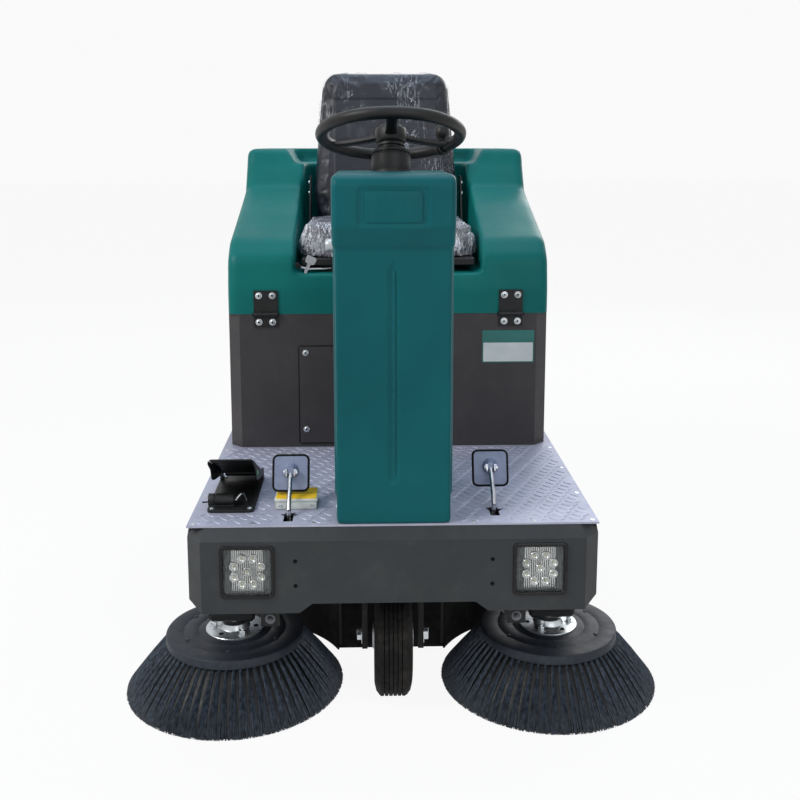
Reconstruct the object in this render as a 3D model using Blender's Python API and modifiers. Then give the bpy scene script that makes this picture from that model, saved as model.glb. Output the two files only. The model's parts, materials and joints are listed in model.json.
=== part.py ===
"""Ride-on sweeper: steered front wheel, two lifting side brushes, main broom, drawer hopper and a
tilting seat cover. Metres, +Z up, the front faces -Y, and the operator's left hand is at +X."""

import math

import bmesh
import bpy
from mathutils import Matrix, Vector

# Driving dimensions. Depths run back from the bumper's front face, heights up from the floor.
DECK_HALF_WIDTH = 0.425
DECK_TOP = 0.440
DECK_THICKNESS = 0.004
BODY_HALF_WIDTH = 0.407
BODY_FRONT = 0.570
BODY_REAR = 1.400
BODY_TOP = 0.787
SHEET = 0.003
GAP = 0.0003

BRUSH_TIP_RADIUS = 0.243
BRUSH_DISC_RADIUS = 0.1535
BRUSH_CENTRE = (0.356, 0.203)
BRUSH_PIVOT = (0.420, 0.405)

FRONT_WHEEL_RADIUS = 0.130
FRONT_WHEEL_WIDTH = 0.0825
FRONT_WHEEL_DEPTH = 0.160
REAR_WHEEL_RADIUS = 0.140
REAR_WHEEL_WIDTH = 0.080
REAR_WHEEL_DEPTH = 1.180

COLUMN_HALF_WIDTH = 0.1225
COLUMN_FRONT = 0.024
COLUMN_REAR = 0.315
COLUMN_TOP = 1.154
STEERING_CENTRE = (0.280, 1.231)
STEERING_TILT = math.radians(17)
STEERING_RADIUS = 0.1515
STEERING_GRIP = 0.0135
SHAFT_RADIUS = 0.014

COVER_TOP = 1.198
COVER_WALL = 0.005
RECESS_HALF_WIDTH = 0.236
RECESS_FLOOR = 0.889
RECESS_REAR = 1.100
SEAT_HALF_WIDTH = 0.232
SEAT_TOP = 1.010
SEAT_BACK_HALF_WIDTH = 0.216
SEAT_BACK_TOP = 1.440
SEAT_BACK_LEAN = math.radians(8)

BROOM_DEPTH = 0.780
BROOM_RADIUS = 0.137
FLOOR_CLEARANCE = 0.001
BUMPER_BOTTOM = 0.259
BUMPER_DEPTH = 0.120
BUMPER_CORNER = 0.030
BUMPER_BEVEL = 0.022
LAMP_SIZE = 0.113
LAMP_DEPTH = (-0.006, 0.045)
LAMP_CENTRE = (0.300, 0.349)
PEDAL_PAD = 0.080

# Where the bumper's front face lies once the object is centred over its own box.
REAR_BUMPER_END = BODY_REAR + 0.050
FRONT_TIP = BRUSH_CENTRE[1] - BRUSH_TIP_RADIUS
CENTRE_SHIFT = -(FRONT_TIP + REAR_BUMPER_END) / 2

DECK_BOTTOM = DECK_TOP - DECK_THICKNESS
ON_DECK = DECK_TOP + GAP
RAIL_TOP = DECK_BOTTOM - GAP
RAIL_HEIGHT = 0.0567
RAIL_BOTTOM = RAIL_TOP - RAIL_HEIGHT
RAIL_INSIDE = 0.265
RAIL_OUTSIDE = 0.320
RAIL_WALL = 0.004
UNDER_RAIL = RAIL_BOTTOM - GAP

MATERIALS = {
    "teal": ((0.005, 0.145, 0.137), 0.42, 0.0),
    "graphite": ((0.036, 0.040, 0.044), 0.45, 0.3),
    "body_grey": ((0.095, 0.098, 0.100), 0.50, 0.2),
    "checker_aluminium": ((0.62, 0.62, 0.66), 0.35, 0.9),
    "steel": ((0.55, 0.56, 0.58), 0.30, 1.0),
    "black_plastic": ((0.015, 0.016, 0.018), 0.50, 0.0),
    "black_metal": ((0.020, 0.021, 0.023), 0.45, 0.4),
    "rubber": ((0.018, 0.018, 0.019), 0.80, 0.0),
    "bristle": ((0.030, 0.038, 0.055), 0.70, 0.0),
    "vinyl": ((0.014, 0.016, 0.024), 0.45, 0.0),
    "lamp": ((0.020, 0.021, 0.023), 0.35, 0.0),
}


def clear_scene():
    for obj in list(bpy.data.objects):
        bpy.data.objects.remove(obj, do_unlink=True)


def new_collection(name):
    collection = bpy.data.collections.new(name)
    bpy.context.scene.collection.children.link(collection)
    return collection


def material(slot):
    """The slot's material, made the first time that it is asked for."""
    if slot in bpy.data.materials:
        return bpy.data.materials[slot]
    colour, roughness, metallic = MATERIALS[slot]
    made = bpy.data.materials.new(slot)
    made.use_nodes = True
    shader = made.node_tree.nodes["Principled BSDF"]
    shader.inputs["Base Color"].default_value = (*colour, 1.0)
    shader.inputs["Roughness"].default_value = roughness
    shader.inputs["Metallic"].default_value = metallic
    made.diffuse_color = (*colour, 1.0)
    return made


clear_scene()
PARTS = new_collection("ride_on_sweeper")
CUTTERS = new_collection("cutters")
ROOT = bpy.data.objects.new("sweeper_centre", None)
ROOT.location = (0, CENTRE_SHIFT, 0)
PARTS.objects.link(ROOT)


def part(name, mesh, slot):
    """A visible piece, whose mesh is in depths behind the bumper's face."""
    obj = bpy.data.objects.new(name, mesh)
    PARTS.objects.link(obj)
    obj.parent = ROOT
    if slot:
        mesh.materials.append(material(slot))
    return obj


def as_cutter(obj):
    """Takes a piece out of the model, for use in a Boolean only."""
    PARTS.objects.unlink(obj)
    CUTTERS.objects.link(obj)
    obj.hide_render = True
    obj.display_type = "WIRE"
    return obj


def combine(obj, other, operation):
    """Cuts a piece with another, or joins the other to it."""
    modifier = obj.modifiers.new(other.name, "BOOLEAN")
    modifier.operation = operation
    modifier.solver = "EXACT"
    modifier.object = as_cutter(other) if other.name in PARTS.objects else other
    return obj


def cut(obj, *others):
    for other in others:
        combine(obj, other, "DIFFERENCE")
    return obj


def join(obj, *others):
    for other in others:
        combine(obj, other, "UNION")
    return obj


def mesh_from(bm, name):
    mesh = bpy.data.meshes.new(name)
    bmesh.ops.recalc_face_normals(bm, faces=bm.faces)
    bm.to_mesh(mesh)
    bm.free()
    return mesh


def rounded(bm, width, segments, wanted):
    """Rounds the sharp edges whose two ends both pass the test."""
    edges = [
        edge
        for edge in bm.edges
        if edge.calc_face_angle(0) > math.radians(20) and all(wanted(v.co) for v in edge.verts)
    ]
    bmesh.ops.bevel(
        bm, geom=edges, offset=width, segments=segments, profile=0.5, affect="EDGES", clamp_overlap=True
    )


def everywhere(_):
    return True


def box(name, x, y, z, slot=None, bevel=0.0, segments=1, wanted=everywhere):
    """A box between three pairs of limits."""
    bm = bmesh.new()
    bmesh.ops.create_cube(bm, size=1.0)
    size = Vector((x[1] - x[0], y[1] - y[0], z[1] - z[0]))
    middle = Vector((x[0] + x[1], y[0] + y[1], z[0] + z[1])) / 2
    bmesh.ops.transform(bm, matrix=Matrix.Translation(middle) @ Matrix.Diagonal((*size, 1)), verts=bm.verts)
    if bevel:
        rounded(bm, bevel, segments, wanted)
    return part(name, mesh_from(bm, name), slot)


AXES = {
    "X": Matrix(((0, 0, 1), (1, 0, 0), (0, 1, 0))),
    "Y": Matrix(((1, 0, 0), (0, 0, -1), (0, 1, 0))),
    "Z": Matrix.Identity(3),
}


def cylinder(name, axis, centre, radius, limits, slot=None, steps=24):
    """A cylinder along an axis. The centre gives the other two coordinates in order."""
    bm = bmesh.new()
    bmesh.ops.create_cone(
        bm,
        cap_ends=True,
        segments=steps,
        radius1=radius,
        radius2=radius,
        depth=limits[1] - limits[0],
    )
    middle = sum(limits) / 2
    place = {"X": (middle, *centre), "Y": (centre[0], middle, centre[1]), "Z": (*centre, middle)}[axis]
    bmesh.ops.transform(bm, matrix=Matrix.Translation(place) @ AXES[axis].to_4x4(), verts=bm.verts)
    return part(name, mesh_from(bm, name), slot)


def outline(name, axis, points, limits, slot=None, bevel=0.0, segments=2, wanted=everywhere):
    """A flat outline drawn across an axis and given a thickness along it."""
    curve = bpy.data.curves.new(name, "CURVE")
    curve.dimensions = "2D"
    curve.fill_mode = "BOTH"
    curve.extrude = (limits[1] - limits[0]) / 2
    spline = curve.splines.new("POLY")
    spline.points.add(len(points) - 1)
    for at, point in zip(spline.points, points):
        at.co = (*point, 0, 1)
    spline.use_cyclic_u = True
    drawn = bpy.data.objects.new(name + "_outline", curve)
    bpy.context.scene.collection.objects.link(drawn)
    graph = bpy.context.evaluated_depsgraph_get()
    mesh = bpy.data.meshes.new_from_object(drawn.evaluated_get(graph))
    bpy.data.objects.remove(drawn)
    bm = bmesh.new()
    bm.from_mesh(mesh)
    bpy.data.meshes.remove(mesh)
    bmesh.ops.remove_doubles(bm, verts=bm.verts, dist=0.00001)
    bmesh.ops.dissolve_limit(bm, angle_limit=math.radians(1), verts=bm.verts, edges=bm.edges)
    middle = sum(limits) / 2
    place = {"X": (middle, 0, 0), "Y": (0, middle, 0), "Z": (0, 0, middle)}[axis]
    bmesh.ops.transform(bm, matrix=Matrix.Translation(place) @ AXES[axis].to_4x4(), verts=bm.verts)
    if bevel:
        bmesh.ops.recalc_face_normals(bm, faces=bm.faces)
        rounded(bm, bevel, segments, wanted)
    return part(name, mesh_from(bm, name), slot)


def turned(name, profile, place, slot=None, steps=32, closed=False):
    """A profile of (radius, height) turned about the place's own Z axis, drawn from top to bottom."""
    mesh = bpy.data.meshes.new(name)
    edges = [(i, i + 1) for i in range(len(profile) - 1)]
    if closed:
        edges.append((len(profile) - 1, 0))
    mesh.from_pydata([(radius, 0, height) for radius, height in profile], edges, [])
    obj = part(name, mesh, slot)
    obj.matrix_local = place
    screw = obj.modifiers.new("turn", "SCREW")
    screw.steps = screw.render_steps = steps
    screw.use_merge_vertices = True
    screw.merge_threshold = 0.00001
    screw.use_smooth_shade = True
    return obj


def along(axis, point):
    """Where a turned piece goes so that its own Z runs along an axis through the point."""
    turn = {"X": Matrix.Rotation(math.radians(90), 4, "Y"), "Z": Matrix.Identity(4)}[axis]
    return Matrix.Translation(point) @ turn


def inset(points, distance):
    """The outline moved inwards by a distance. Its points run anticlockwise."""
    moved = []
    count = len(points)
    for i, point in enumerate(points):
        before = (Vector(point) - Vector(points[i - 1])).normalized()
        after = (Vector(points[(i + 1) % count]) - Vector(point)).normalized()
        left_before = Vector((-before.y, before.x))
        left_after = Vector((-after.y, after.x))
        middle = (left_before + left_after).normalized()
        moved.append(Vector(point) + middle * distance / middle.dot(left_before))
    return [tuple(point) for point in moved]


def opened_below(points, drop):
    """The outline with its lowest points carried down, so that a hollow cut with it has no floor."""
    lowest = min(z for _, z in points)
    return [(y, z - drop if z < lowest + 0.0001 else z) for y, z in points]


def on_joint(name, point, *pieces):
    """Hangs the pieces on an empty at the point their joint turns about."""
    joint = bpy.data.objects.new(name, None)
    joint.empty_display_size = 0.05
    joint.location = point
    joint.parent = ROOT
    PARTS.objects.link(joint)
    for piece in pieces:
        piece.parent = joint
        piece.location = piece.location - Vector(point)
    return joint


SIDES = {"left": 1, "right": -1}


def span(side, low, high):
    """Two distances from the centre plane as limits on one side of the machine."""
    return (low, high) if side > 0 else (-high, -low)


# Chassis -----------------------------------------------------------------------------------------

CROSSMEMBER_DEPTH = (0.125, 0.195)
STEM_RADIUS = 0.025
BRUSH_PIN_RADIUS = 0.010
BRUSH_PIN_END = 0.392
ARM_WIDTH = 0.062
BRAKE_PIVOT = (-0.2195, 0.073)
FLAP_PIVOT = (0.2147, 0.095)
PEDAL_PIVOT_HEIGHT = 0.405
PEDAL_PIN_RADIUS = 0.005
PEDAL_HUB_HALF = 0.008
LUG_THICKNESS = 0.006


def frame_rails():
    """Channel rails that open inwards, each with the pin that its brush arm turns on."""
    top, bottom, wall = RAIL_TOP, RAIL_BOTTOM, RAIL_WALL
    for word, side in SIDES.items():
        section = [
            (RAIL_INSIDE, bottom),
            (RAIL_OUTSIDE, bottom),
            (RAIL_OUTSIDE, top),
            (RAIL_INSIDE, top),
            (RAIL_INSIDE, top - wall),
            (RAIL_OUTSIDE - wall, top - wall),
            (RAIL_OUTSIDE - wall, bottom + wall),
            (RAIL_INSIDE, bottom + wall),
        ]
        rail = outline(
            f"frame_rail_{word}", "Y", [(side * x, z) for x, z in section],
            (LAMP_DEPTH[1] + 0.005, BODY_REAR), "graphite"
        )
        pin = cylinder(
            f"pin_{word}", "X", BRUSH_PIVOT, BRUSH_PIN_RADIUS,
            span(side, RAIL_OUTSIDE - wall / 2, BRUSH_PIN_END), steps=16,
        )
        join(rail, pin)


def frame_crossmember():
    """The beam between the rails: steering head in its middle, pedal lugs on its front."""
    beam = box(
        "frame_crossmember", (-RAIL_INSIDE + GAP, RAIL_INSIDE - GAP), CROSSMEMBER_DEPTH,
        (RAIL_BOTTOM, RAIL_TOP), "graphite",
    )
    cut(beam, cylinder("stem_bore", "Z", (0, FRONT_WHEEL_DEPTH), STEM_RADIUS + GAP, (0.3, 0.5)))
    for name, (x, depth) in {"brake": BRAKE_PIVOT, "flap": FLAP_PIVOT}.items():
        for side in (-1, 1):
            near = PEDAL_HUB_HALF + GAP
            cheek = span(side, near, near + LUG_THICKNESS)
            lug = box(
                f"lug_{name}_{side}", (x + cheek[0], x + cheek[1]),
                (depth - 0.012, CROSSMEMBER_DEPTH[0] + 0.002),
                (PEDAL_PIVOT_HEIGHT - 0.012, PEDAL_PIVOT_HEIGHT + 0.012),
            )
            join(beam, lug)
        bore = cylinder(
            f"bore_{name}", "X", (depth, PEDAL_PIVOT_HEIGHT), PEDAL_PIN_RADIUS + GAP, (x - 0.03, x + 0.03),
            steps=16,
        )
        cut(beam, bore)


def deck_plate():
    """The tread plate that the body, the column and the pedals stand on."""
    deck = box(
        "deck_plate", (-DECK_HALF_WIDTH, DECK_HALF_WIDTH), (BUMPER_BEVEL, BODY_REAR), (DECK_BOTTOM, DECK_TOP),
        "checker_aluminium",
    )
    cut(deck, cylinder("deck_bore", "Z", (0, FRONT_WHEEL_DEPTH), STEM_RADIUS + 0.0015, (0.42, 0.46)))
    for name, (x, depth) in {"brake": BRAKE_PIVOT, "flap": FLAP_PIVOT}.items():
        slot = box(f"slot_{name}", (x - 0.010, x + 0.010), (depth - 0.030, depth + 0.020), (0.42, 0.46))
        cut(deck, slot)


# Bumpers and lamps -------------------------------------------------------------------------------

FLANGE_REAR = BUMPER_BEVEL + 0.016
RELIEF_HALF_WIDTH = (0.208, 0.168)
RELIEF_HEIGHT = 0.020
HOLE_PLACES = [(x, z) for x in (-0.202, 0.202) for z in (0.318, 0.371)]


def bumper_block(name, wall, slot=None):
    """The bumper's outer form, or its hollow when a wall is given."""
    bm = bmesh.new()
    bmesh.ops.create_cube(bm, size=1.0)
    low = Vector((-DECK_HALF_WIDTH + wall, wall, BUMPER_BOTTOM - (0.02 if wall else 0)))
    high = Vector((DECK_HALF_WIDTH - wall, BUMPER_DEPTH + (0.02 if wall else 0), DECK_BOTTOM - GAP - wall))
    place = Matrix.Translation((low + high) / 2) @ Matrix.Diagonal((*(high - low), 1))
    bmesh.ops.transform(bm, matrix=place, verts=bm.verts)
    front = low.y + 0.0001
    upright = [
        edge
        for edge in bm.edges
        if all(v.co.y < front for v in edge.verts) and edge.verts[0].co.x * edge.verts[1].co.x > 0
    ]
    bmesh.ops.bevel(bm, geom=upright, offset=BUMPER_CORNER, segments=1, profile=0.5, affect="EDGES")
    rim = [
        edge
        for edge in bm.edges
        if all(v.co.z > high.z - 0.0001 and v.co.y < high.y - 0.001 for v in edge.verts)
    ]
    bmesh.ops.bevel(bm, geom=rim, offset=BUMPER_BEVEL, segments=1, profile=0.5, affect="EDGES")
    return part(name, mesh_from(bm, name), slot)


def front_bumper():
    bumper = bumper_block("front_bumper", 0, "graphite")
    cut(bumper, bumper_block("bumper_hollow", SHEET))
    inside = DECK_HALF_WIDTH - SHEET
    behind_flange = (FLANGE_REAR, BUMPER_DEPTH + 0.01)
    cut(bumper, box("open_top", (-inside, inside), behind_flange, (RAIL_BOTTOM, DECK_TOP)))
    wide, narrow = RELIEF_HALF_WIDTH
    relief = [
        (-wide, BUMPER_BOTTOM - 0.01),
        (wide, BUMPER_BOTTOM - 0.01),
        (narrow, BUMPER_BOTTOM + RELIEF_HEIGHT),
        (-narrow, BUMPER_BOTTOM + RELIEF_HEIGHT),
    ]
    cut(bumper, outline("relief", "Y", relief, (-0.01, 0.04)))
    for word, side in SIDES.items():
        corner = [
            (side * (DECK_HALF_WIDTH + 0.01), BUMPER_BOTTOM - 0.01),
            (side * (DECK_HALF_WIDTH + 0.01), BUMPER_BOTTOM + 0.026),
            (side * (DECK_HALF_WIDTH - 0.048), BUMPER_BOTTOM - 0.01),
        ]
        cut(bumper, outline(f"corner_{word}", "Y", corner, (-0.01, BUMPER_DEPTH + 0.01)))
        middle = side * LAMP_CENTRE[0]
        reach = LAMP_SIZE / 2 + GAP
        window = box(
            f"window_{word}", (middle - reach, middle + reach), (-0.01, 0.02),
            (LAMP_CENTRE[1] - reach, LAMP_CENTRE[1] + reach),
        )
        cut(bumper, window)
    for i, (x, z) in enumerate(HOLE_PLACES):
        cut(bumper, cylinder(f"hole_{i}", "Y", (x, z), 0.003, (-0.01, 0.02), steps=8))


def headlamps():
    """Square work lamps set through the bumper, with an open pocket for their lenses."""
    for word, side in SIDES.items():
        middle, height = side * LAMP_CENTRE[0], LAMP_CENTRE[1]
        half = LAMP_SIZE / 2
        lamp = box(
            f"headlamp_{word}",
            (middle - half, middle + half),
            LAMP_DEPTH,
            (height - half, height + half),
            "lamp",
            bevel=0.010,
            segments=2,
        )
        lens = half - 0.007
        pocket = box(
            f"pocket_{word}",
            (middle - lens, middle + lens),
            (-0.02, LAMP_DEPTH[0] + 0.012),
            (height - lens, height + lens),
        )
        cut(lamp, pocket)


def rear_bumper():
    box(
        "rear_bumper", (-DECK_HALF_WIDTH, DECK_HALF_WIDTH), (BODY_REAR + GAP, REAR_BUMPER_END),
        (RAIL_BOTTOM + 0.014, DECK_BOTTOM), "graphite", 0.006, 1,
    )


# Body --------------------------------------------------------------------------------------------

BODY_CORNER = 0.030
PANEL_END = BODY_FRONT + BODY_CORNER + 0.010


def body_panels():
    """The grey box around the battery: a folded front, flat sides and a flat rear."""
    height = (ON_DECK, BODY_TOP - GAP)
    fold = [
        (-BODY_HALF_WIDTH, PANEL_END),
        (-BODY_HALF_WIDTH, BODY_FRONT + BODY_CORNER),
        (-BODY_HALF_WIDTH + BODY_CORNER, BODY_FRONT),
        (BODY_HALF_WIDTH - BODY_CORNER, BODY_FRONT),
        (BODY_HALF_WIDTH, BODY_FRONT + BODY_CORNER),
        (BODY_HALF_WIDTH, PANEL_END),
    ]
    bm = bmesh.new()
    lower = [bm.verts.new((x, y, height[0])) for x, y in fold]
    chain = [bm.edges.new(pair) for pair in zip(lower, lower[1:])]
    raised = bmesh.ops.extrude_edge_only(bm, edges=chain)["geom"]
    upper = [item for item in raised if isinstance(item, bmesh.types.BMVert)]
    bmesh.ops.translate(bm, vec=(0, 0, height[1] - height[0]), verts=upper)
    for face in bm.faces:
        if face.normal.dot(face.calc_center_median() - Vector((0, 1, 0))) < 0:
            face.normal_flip()
    mesh = bpy.data.meshes.new("body_front_panel")
    bm.normal_update()
    bm.to_mesh(mesh)
    bm.free()
    front = part("body_front_panel", mesh, "body_grey")
    solid = front.modifiers.new("sheet", "SOLIDIFY")
    solid.thickness = SHEET
    solid.use_even_offset = True
    solid.offset = -1
    for word, side in SIDES.items():
        x = span(side, BODY_HALF_WIDTH - SHEET, BODY_HALF_WIDTH)
        box(f"body_side_{word}", x, (PANEL_END + GAP, BODY_REAR), height, "body_grey")
    inside = BODY_HALF_WIDTH - SHEET - GAP
    box("body_rear_panel", (-inside, inside), (BODY_REAR - SHEET, BODY_REAR), height, "body_grey")


def access_panel():
    box(
        "access_panel", (-0.2275, 0.050), (BODY_FRONT - GAP - 0.002, BODY_FRONT - GAP),
        (DECK_TOP + 0.012, 0.7035), "body_grey",
    )


def inside_body():
    """What the body hides: the battery pack and the fan that draws the dust."""
    box("battery_pack", (-0.200, 0.360), (0.620, 1.020), (ON_DECK, 0.700), "black_plastic", 0.006)
    fan = cylinder("suction_fan", "Z", (0, 1.220), 0.120, (ON_DECK, 0.600), "black_plastic")
    join(fan, box("fan_outlet", (0.0, 0.200), (1.110, 1.190), (0.500, 0.580)))


# Hinged cover and seat ---------------------------------------------------------------------------

COVER_HINGE = (BODY_FRONT - 0.0063, BODY_TOP)
COVER_PROFILE = [
    (BODY_FRONT, BODY_TOP + GAP),
    (BODY_REAR + 0.005, BODY_TOP + GAP),
    (BODY_REAR + 0.005, COVER_TOP),
    (1.070, COVER_TOP),
    (1.047, 1.157),
    (1.000, 1.090),
    (0.950, 1.072),
    (0.766, 1.0145),
    (0.630, 0.973),
    (BODY_FRONT + 0.014, 0.930),
    (BODY_FRONT, 0.850),
]
NOTCH_FLOOR = 1.157
COVER_ROUND = 0.022


def seat_recess(name, grow):
    """The seat's bay, open in front and above, or the bay with its walls when it grows."""
    profile = [
        (BODY_FRONT - 0.10, RECESS_FLOOR - grow),
        (RECESS_REAR + grow, RECESS_FLOOR - grow),
        (RECESS_REAR + grow, COVER_TOP + 0.1),
        (BODY_FRONT - 0.10, COVER_TOP + 0.1),
    ]
    return outline(name, "X", profile, (-RECESS_HALF_WIDTH - grow, RECESS_HALF_WIDTH + grow))


def top_notch(name, grow):
    """The step down behind the seat between the cover's two shoulders."""
    wide, narrow = 0.288 + grow, 0.262 + grow
    profile = [
        (-narrow, NOTCH_FLOOR - grow),
        (narrow, NOTCH_FLOOR - grow),
        (wide, COVER_TOP + 0.05),
        (-wide, COVER_TOP + 0.05),
    ]
    return outline(name, "Y", profile, (0.9, 1.300 + grow))


def upper_cover():
    """The moulded cover: an open-bottomed shell with the seat's bay sunk into it."""
    above = BODY_TOP + 0.01
    cover = outline(
        "upper_cover", "X", COVER_PROFILE, (-BODY_HALF_WIDTH, BODY_HALF_WIDTH), "teal", COVER_ROUND, 2,
        lambda point: point.z > above,
    )
    inner = opened_below(inset(COVER_PROFILE, COVER_WALL), 0.02)
    reach = BODY_HALF_WIDTH - COVER_WALL
    hollow = outline(
        "cover_hollow", "X", inner, (-reach, reach), None, COVER_ROUND - COVER_WALL, 2,
        lambda point: point.z > above,
    )
    cut(hollow, seat_recess("bay_walls", COVER_WALL), top_notch("notch_walls", COVER_WALL))
    cut(cover, seat_recess("bay", 0), top_notch("notch", 0), hollow)
    return cover


HINGE_X = 0.310
HINGE_HALF_WIDTH = 0.030
HINGE_TOP = 0.8475
HINGE_FOOT = 0.755
KNUCKLE_RADIUS = 0.006
LEAF = 0.004


def hinge_leaf(name, middle, upward):
    """One leaf of a front hinge with its share of the knuckle. The lower leaf holds the pin."""
    depth, height = COVER_HINGE
    face = BODY_FRONT - GAP
    clear = KNUCKLE_RADIUS + 0.001
    z = (height + clear, HINGE_TOP) if upward else (HINGE_FOOT, height - clear)
    x = (middle - HINGE_HALF_WIDTH, middle + HINGE_HALF_WIDTH)
    leaf = box(name, x, (face - LEAF, face), z, "black_metal")
    third = HINGE_HALF_WIDTH / 3
    inner, outer = third - GAP, HINGE_HALF_WIDTH
    shares = [(third, outer), (-outer, -third)] if upward else [(-inner, inner)]
    for i, (low, high) in enumerate(shares):
        limits = (middle + low, middle + high)
        web_z = (height, height + clear + 0.001) if upward else (height - clear - 0.001, height)
        join(leaf, cylinder(f"{name}_knuckle_{i}", "X", (depth, height), KNUCKLE_RADIUS, limits, steps=12))
        join(leaf, box(f"{name}_web_{i}", limits, (depth, depth + 0.004), web_z))
    limits = (middle - outer - 0.002, middle + outer + 0.002)
    pin = cylinder(f"{name}_pin", "X", (depth, height), 0.003 + (GAP if upward else 0), limits, steps=12)
    return cut(leaf, pin) if upward else join(leaf, pin)


def seat():
    """The suspension track, the pan with its back brackets, the cushion and the back."""
    track = box("seat_track", (-0.170, 0.170), (0.620, 0.950), (RECESS_FLOOR + GAP, 0.9047), "black_metal")
    strip_x = (SEAT_BACK_HALF_WIDTH + GAP, SEAT_BACK_HALF_WIDTH + GAP + 0.0045)
    pan_half = strip_x[1] + 0.0005
    pan_z = (0.9050, 0.9250)
    pan = box("seat_pan", (-pan_half, pan_half), (0.605, 0.985), pan_z, "black_metal", 0.003)
    strip = [(0.930, 0.910), (0.975, 0.910), (1.050, 1.120), (1.010, 1.120)]
    for word, side in SIDES.items():
        join(pan, outline(f"strip_{word}", "X", strip, span(side, *strip_x)))
    cushion = box(
        "seat_cushion",
        (-SEAT_HALF_WIDTH, SEAT_HALF_WIDTH),
        (0.600, 0.928),
        (pan_z[1] + GAP, SEAT_TOP),
        "vinyl",
        bevel=0.020,
        segments=2,
    )
    return track, pan, cushion, seat_back()


SEAT_BACK_FOOT = 0.965
SEAT_BACK_FRONT = 0.940
SEAT_BACK_THICKNESS = 0.080


def seat_back():
    half_low, half_high, corner = SEAT_BACK_HALF_WIDTH, 0.190, 0.055
    right = [(half_low - 0.02, SEAT_BACK_FOOT), (half_low, SEAT_BACK_FOOT + 0.12)]
    for step in range(5):
        angle = math.radians(90 * step / 4)
        right.append(
            (
                half_high - corner * (1 - math.cos(angle)),
                SEAT_BACK_TOP - corner * (1 - math.sin(angle)),
            )
        )
    points = right + [(-x, z) for x, z in reversed(right)]
    back = outline(
        "seat_back", "Y", points, (SEAT_BACK_FRONT, SEAT_BACK_FRONT + SEAT_BACK_THICKNESS), "vinyl", 0.012, 1
    )
    foot = Matrix.Translation((0, SEAT_BACK_FRONT, SEAT_BACK_FOOT))
    stretch = Matrix.Diagonal((1, 1, 1 / math.cos(SEAT_BACK_LEAN), 1))
    lean = foot @ Matrix.Rotation(-SEAT_BACK_LEAN, 4, "X") @ stretch @ foot.inverted()
    back.data.transform(lean)
    return back


# Steering ----------------------------------------------------------------------------------------

STEERING_PLACE = Matrix.Translation((0, *STEERING_CENTRE)) @ Matrix.Rotation(-STEERING_TILT, 4, "X")
COLUMN_WALL = 0.004
COLLAR_RADIUS = 0.0425
BOSS_RADIUS = 0.034
BOSS_FOOT = -0.020
BUTTON_RADIUS = 0.024
BUTTON_POCKET = 0.009
BUTTON_TRAVEL = 0.003
GEARBOX_TOP = 0.560
JACKET_FOOT = -0.250
JACKET_HEAD = -0.035
COLUMN_PROFILE = [
    (COLUMN_FRONT, ON_DECK),
    (COLUMN_REAR, ON_DECK),
    (COLUMN_REAR, COLUMN_TOP - 0.020),
    (COLUMN_REAR - 0.012, COLUMN_TOP),
    (COLUMN_FRONT - 0.010, COLUMN_TOP),
    (COLUMN_FRONT - 0.022, COLUMN_TOP - 0.012),
    (COLUMN_FRONT - 0.022, COLUMN_TOP - 0.104),
    (COLUMN_FRONT, COLUMN_TOP - 0.152),
]


def column_cover():
    """The steering column's shell, open at the deck and bored for the steering jacket."""
    above = ON_DECK + 0.01
    cover = outline(
        "column_cover", "X", COLUMN_PROFILE, (-COLUMN_HALF_WIDTH, COLUMN_HALF_WIDTH), "teal", 0.012, 2,
        lambda point: point.z > above,
    )
    inner = opened_below(inset(COLUMN_PROFILE, COLUMN_WALL), 0.02)
    reach = COLUMN_HALF_WIDTH - COLUMN_WALL
    hollow = outline(
        "column_hollow", "X", inner, (-reach, reach), None, 0.008, 2, lambda point: point.z > above
    )
    bore_profile = [(0, 0.1), (COLLAR_RADIUS + GAP, 0.1), (COLLAR_RADIUS + GAP, -0.2), (0, -0.2)]
    bore = turned("jacket_bore", bore_profile, STEERING_PLACE, steps=28)
    return cut(cover, hollow, bore)


def steering_support():
    """The steering gear on the deck and the post behind it that the jacket stands on."""
    gear = box("steering_support", (-0.060, 0.060), (0.060, 0.2325), (ON_DECK, GEARBOX_TOP), "black_metal")
    radius_rise = COLLAR_RADIUS * math.sin(STEERING_TILT)
    foot = STEERING_PLACE @ Vector((0, 0, JACKET_FOOT))
    post_top = foot.z - radius_rise - GAP
    return join(gear, box("post", (-0.030, 0.030), (0.2225, 0.262), (ON_DECK, post_top)))


def steering_jacket():
    bore = SHAFT_RADIUS + 0.0004
    profile = [
        (bore, JACKET_HEAD),
        (0.036, JACKET_HEAD),
        (COLLAR_RADIUS, JACKET_HEAD - 0.012),
        (COLLAR_RADIUS, JACKET_FOOT),
        (bore, JACKET_FOOT),
    ]
    return turned("steering_jacket", profile, STEERING_PLACE, "black_plastic", 28, closed=True)


def steering_shaft():
    tilt = STEERING_TILT
    drop = STEERING_CENTRE[1] - (GEARBOX_TOP + GAP + SHAFT_RADIUS * math.sin(tilt))
    foot = -drop / math.cos(tilt)
    head = BOSS_FOOT - GAP
    profile = [(0, head), (SHAFT_RADIUS, head), (SHAFT_RADIUS, foot), (0, foot)]
    return turned("steering_shaft", profile, STEERING_PLACE, "steel", 16)


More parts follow.
